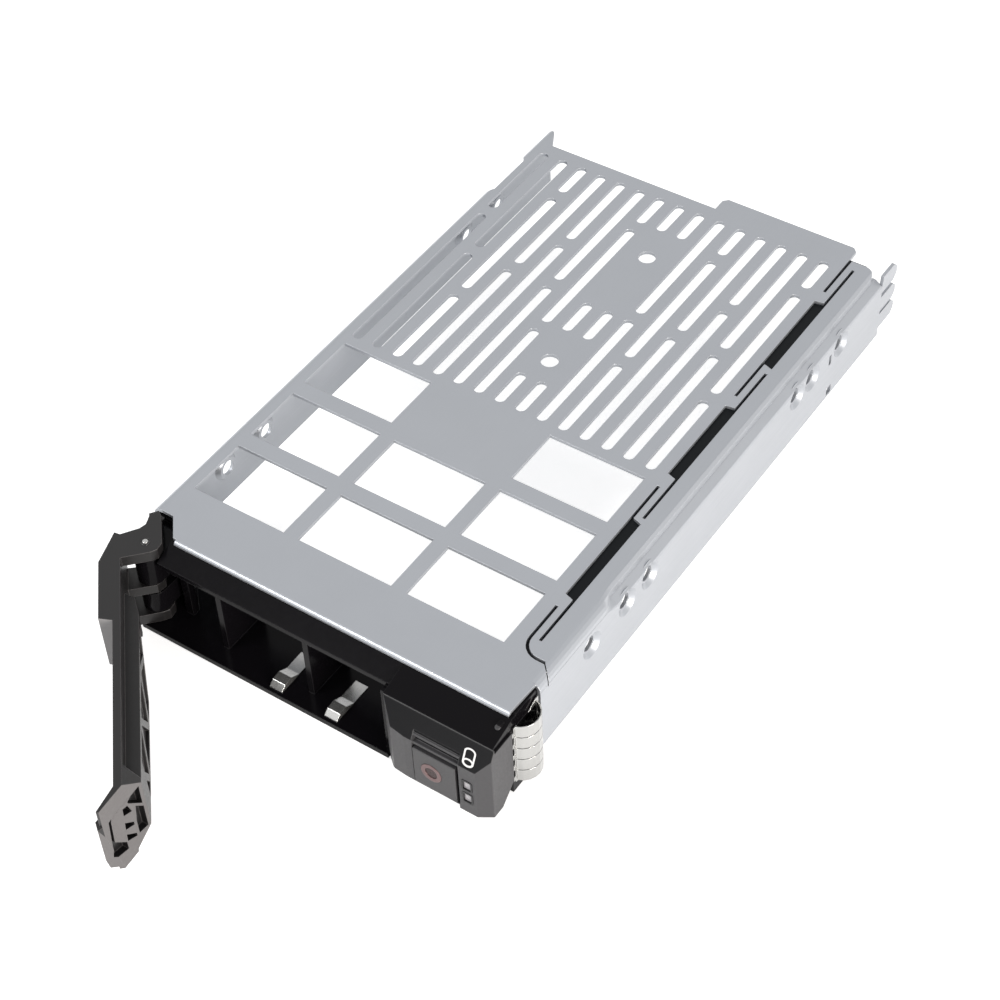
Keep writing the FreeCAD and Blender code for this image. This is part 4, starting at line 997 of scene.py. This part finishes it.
@dataclass
class PinHead:
    """Domed, grooved head on the hinge pin.

    Args:
        radius: Radius of the dome, in metres.
        rise: Height over the pin's end, in metres.
        groove: Width and depth of the groove round the dome, in metres.
        groove_slope: Share of the groove's width that its outer side takes.
        less: How much smaller than the pin's radius the collar's is, in metres.
        thick: Thickness of the collar, in metres.
        stand: How far the collar's middle stands over the pin's end, in metres.
        sides: Sides of the rounds.
        foot: Share of the rise that the dome's straight foot takes.
        steps: Share of the rise that each step over the foot takes, and how much narrower it gets.
    """

    radius: float = 0.0007
    rise: float = 0.0003
    groove: float = 0.00014
    groove_slope: float = 0.3
    less: float = 0.00004
    thick: float = 0.0002
    stand: float = 0.00002
    sides: int = 28
    foot: float = 0.4
    steps: tuple[tuple[float, float], ...] = ((0.4, 0.72), (0.2, 0.5))

    def build(self) -> None:
        """Makes the head on the pin's top end."""
        low, high = (Vector(corner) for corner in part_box("hinge_pin"))
        middle = (low + high) / 2.0
        collar = (high.x - low.x) / 2.0 - self.less
        head = Bench.start(bpy.ops.mesh.primitive_cylinder_add, vertices=self.sides, radius=collar,
                           depth=self.thick)
        Bench.pick(lambda face: face.normal.z > FACING)
        Bench.inset(collar - self.radius - self.groove)
        Bench.inset(self.groove * self.groove_slope, self.groove)
        Bench.inset(self.groove * (1.0 - self.groove_slope))
        Bench.lift(self.groove + self.rise * self.foot)
        for share, width in self.steps:
            Bench.lift(self.rise * share)
            bpy.ops.transform.resize(value=(width, width, 1.0))
        seat = Matrix.Translation((middle.x, middle.y, high.z + self.stand))
        Bench.close(head, "pin_head", seat, Slot.SPRING_STEEL, Body.TRAY, Slot.SPRING_STEEL)
        mesh = head.data
        # Painted shade: the steel collar round the dome is painted black, so only the dome reads bright.
        mesh.materials.append(FINISHES[Paint.SURROUND].material())
        for face in mesh.polygons:
            face.material_index = int((face.center - middle).xy.length > self.radius)


@dataclass
class ButtonCoil:
    """The spring behind the button.

    Args:
        node: The solid that it stands for.
        joint: The button's joint; not used.
    """

    node: str = "button_spring"
    joint: str = "button_slide"

    def build(self) -> None:
        """Copies the solid's mesh, merges it, finishes it and hides the solid."""
        coil = Bench.copy_of(self.node, "button_coil")
        bpy.ops.object.mode_set(mode="EDIT")
        Bench.close(coil, "button_coil", Matrix.Identity(4), Slot.SPRING_STEEL, Body.TRAY,
                    Slot.SPRING_STEEL)
        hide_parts(self.node)
        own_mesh(coil)


@dataclass
class StripStake:
    """Small round mark that staking leaves on the bezel's top strip.

    Args:
        place: X and Y of its centre, in metres.
        radius: Its radius, in metres.
        rise: Its height, in metres.
        sides: Sides of the round.
        rounding: Rounding of its edge over its height.
        rounding_steps: Steps of that rounding.
        dish_border: Width of the slope into its dished middle, over its radius.
        dish_deep: Depth of the dish over its height.
        floor_border: Width of the border on the dish's floor, over its radius.
        stand: Height of its middle over the strip, over its own height.
    """

    place: tuple[float, float] = (0.0505, -0.0028)
    radius: float = 0.0007
    rise: float = 0.00035
    sides: int = 24
    rounding: float = 0.6
    rounding_steps: int = 3
    dish_border: float = 0.35
    dish_deep: float = 0.25
    floor_border: float = 0.15
    stand: float = 0.45

    def build(self) -> None:
        """Makes the mark where it stands."""
        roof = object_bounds()[1][2] + STAND_OFF
        seat = Bench.seat("bezel_frame", Vector((*self.place, roof)), Vector((0.0, 0.0, -1.0)))
        disc = Bench.start(bpy.ops.mesh.primitive_cylinder_add, vertices=self.sides, radius=self.radius,
                           depth=self.rise)
        Bench.pick(lambda face: face.normal.z > FACING)
        bpy.ops.mesh.bevel(offset=self.rise * self.rounding, segments=self.rounding_steps, affect="EDGES")
        Bench.pick(lambda face: face.normal.z > SQUARE)
        Bench.inset(self.radius * self.dish_border, self.rise * self.dish_deep)
        Bench.inset(self.radius * self.floor_border)
        raised = Matrix.Translation((0.0, 0.0, self.rise * self.stand))
        Bench.close(disc, "strip_stake", seat @ raised, Slot.COVER_GREY, Body.TRAY, Slot.BEZEL_BLACK)


# ------------------------------------------------------------------------ studio
@dataclass(frozen=True)
class Lamp:
    """One soft rectangular lamp.

    Args:
        name: Object name.
        place: Where it hangs, in metres.
        wide: Side of the square, in metres.
        power: Watts.
        tint: Colour of its light.
    """

    name: str
    place: tuple[float, float, float]
    wide: float
    power: float
    tint: Colour = (1.0, 1.0, 1.0)


@dataclass
class Studio:
    """Floor, world, lamps and camera.

    Args:
        aim: The point in the middle of the view.
        azimuth: Camera's angle round the object, in degrees.
        elevation: Camera's height angle, in degrees.
        roll: Camera's tilt about its own axis, in degrees.
        distance: Camera to aim point, in metres.
        lens: Focal length, in millimetres.
        sensor: Width of the camera's sensor, in millimetres.
        clip: Nearest and farthest distance that the camera sees, in metres.
        sky: Strength of the surroundings as a light.
        floor_wide: Side of the floor, in metres.
        floor_drop: How far it lies below the object, in metres.
        floor_grey: Lightness of its paint.
        floor_glow: Glow that keeps the floor white round the object's shadow.
        lamps: The soft lamps.
    """

    aim: Vector = field(default_factory=lambda: Vector((0.00735, 0.0611, 0.013)))
    azimuth: float = 36.27
    elevation: float = 46.54
    roll: float = -3.0
    distance: float = 0.5419
    lens: float = 81.15
    sensor: float = 36.0
    clip: tuple[float, float] = (0.01, 20.0)
    sky: float = 0.55
    floor_wide: float = 6.0
    floor_drop: float = 0.0005
    floor_grey: float = 0.9
    floor_glow: float = 0.62
    lamps: tuple[Lamp, ...] = (
        Lamp("lamp_key", (1.02, -0.33, 0.26), 0.55, 14.8, (1.0, 0.95, 0.89)),
        Lamp("lamp_fill", (-0.55, -0.75, 0.30), 0.6, 0.8),
        Lamp("lamp_bend", (-0.42, -0.48, 0.80), 0.3, 3.2),
    )

    def build(self) -> None:
        """Makes the whole studio."""
        self._world()
        self._floor()
        for lamp in self.lamps:
            self._lamp(lamp)
        self._camera()
        bpy.context.scene.view_settings.view_transform = "Standard"
        log.info("studio ready")

    @staticmethod
    def _seen(sheet: NodeSheet) -> bpy.types.NodeSocket:
        """Mask of what the camera, gloss and glass see.

        Args:
            sheet: The tree to add it to.

        Returns:
            A socket that is 1 on those rays.
        """
        path = sheet.add("ShaderNodeLightPath")
        either = sheet.math("MAXIMUM", path.outputs["Is Camera Ray"], path.outputs["Is Glossy Ray"])
        return sheet.math("MAXIMUM", either, path.outputs["Is Transmission Ray"])

    def _world(self) -> None:
        """Grey surroundings that the camera, gloss and glass see as white."""
        world = bpy.data.worlds.new("studio_world")
        bpy.context.scene.world = world
        world.use_nodes = True
        world.node_tree.nodes.clear()
        sheet = NodeSheet(world.node_tree)
        strength = sheet.add("ShaderNodeMapRange")
        strength.inputs["To Min"].default_value = self.sky
        strength.inputs["To Max"].default_value = 1.0
        sheet.link(self._seen(sheet), strength.inputs["Value"])
        back = sheet.add("ShaderNodeBackground")
        sheet.feed(back.inputs["Color"], (1.0, 1.0, 1.0))
        sheet.link(strength.outputs[0], back.inputs["Strength"])
        end = sheet.add("ShaderNodeOutputWorld")
        sheet.link(back.outputs[0], end.inputs["Surface"])

    def _floor(self) -> None:
        """Plain pale floor just below the object, clear when seen from beneath."""
        bpy.ops.mesh.primitive_plane_add(size=self.floor_wide, location=(0.0, 0.0, -self.floor_drop))
        floor = bpy.context.object
        floor.name = "studio_floor"
        paint = bpy.data.materials.new("studio_floor_paint")
        paint.use_nodes = True
        paint.node_tree.nodes.clear()
        sheet = NodeSheet(paint.node_tree)
        diffuse = sheet.add("ShaderNodeBsdfDiffuse")
        sheet.feed(diffuse.inputs["Color"], (self.floor_grey,) * 3)
        glow = sheet.add("ShaderNodeEmission")
        sheet.feed(glow.inputs["Color"], (1.0, 1.0, 1.0))
        glow.inputs["Strength"].default_value = self.floor_glow
        both = sheet.add("ShaderNodeAddShader")
        sheet.link(diffuse.outputs[0], both.inputs[0])
        sheet.link(glow.outputs[0], both.inputs[1])
        floor_look = self._choose(sheet, self._seen(sheet), diffuse.outputs[0], both.outputs[0])
        path = sheet.add("ShaderNodeLightPath")
        side = sheet.add("ShaderNodeNewGeometry")
        beneath = sheet.math("MULTIPLY", path.outputs["Is Camera Ray"], side.outputs["Backfacing"])
        clear = sheet.add("ShaderNodeBsdfTransparent")
        end = sheet.add("ShaderNodeOutputMaterial")
        sheet.link(self._choose(sheet, beneath, floor_look, clear.outputs[0]), end.inputs["Surface"])
        floor.data.materials.append(paint)
        floor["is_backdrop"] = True

    @staticmethod
    def _choose(sheet: NodeSheet, mask: bpy.types.NodeSocket, low: bpy.types.NodeSocket,
                high: bpy.types.NodeSocket) -> bpy.types.NodeSocket:
        """Chooses between two shaders.

        Args:
            sheet: The tree to add to.
            mask: Which of them, 0 or 1.
            low: The shader at 0.
            high: The shader at 1.

        Returns:
            The chosen shader's socket.
        """
        node = sheet.add("ShaderNodeMixShader")
        for socket, value in zip(node.inputs, (mask, low, high)):
            sheet.link(value, socket)
        return node.outputs[0]

    def _lamp(self, lamp: Lamp) -> None:
        """Hangs one lamp, turned to the aim point.

        Args:
            lamp: Which lamp.
        """
        light = bpy.data.lights.new(lamp.name, "AREA")
        light.size = lamp.wide
        light.energy = lamp.power
        light.color = lamp.tint
        thing = bpy.data.objects.new(lamp.name, light)
        bpy.context.scene.collection.objects.link(thing)
        thing.location = lamp.place
        thing.rotation_euler = (self.aim - Vector(lamp.place)).to_track_quat("-Z", "Y").to_euler()
        thing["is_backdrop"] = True

    def _camera(self) -> None:
        """Sets the camera at its angle."""
        turn, lift = math.radians(self.azimuth), math.radians(self.elevation)
        back = Vector((math.sin(turn) * math.cos(lift), -math.cos(turn) * math.cos(lift), math.sin(lift)))
        lens = bpy.data.cameras.new("camera")
        lens.lens = self.lens
        lens.sensor_width = self.sensor
        lens.clip_start, lens.clip_end = self.clip
        camera = bpy.data.objects.new("camera", lens)
        bpy.context.scene.collection.objects.link(camera)
        right = Vector((math.cos(turn), math.sin(turn), 0.0))
        up = back.cross(right)
        basis = Matrix((right, up, back)).transposed().to_4x4()
        spin = Matrix.Rotation(math.radians(self.roll), 4, "Z")
        camera.matrix_world = Matrix.Translation(self.aim + back * self.distance) @ basis @ spin
        bpy.context.scene.camera = camera
        camera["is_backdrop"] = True


def main() -> None:
    """Dresses the frame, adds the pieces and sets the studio."""
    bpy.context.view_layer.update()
    bpy.ops.object.select_all(action="DESELECT")
    FrameDresser().dress()
    for assembly in (LeverMoulding, ButtonCoil, DriveSymbol, LensSurround, PinHead, StripStake):
        assembly().build()
    Studio().build()


if __name__ == "__main__":
    main()
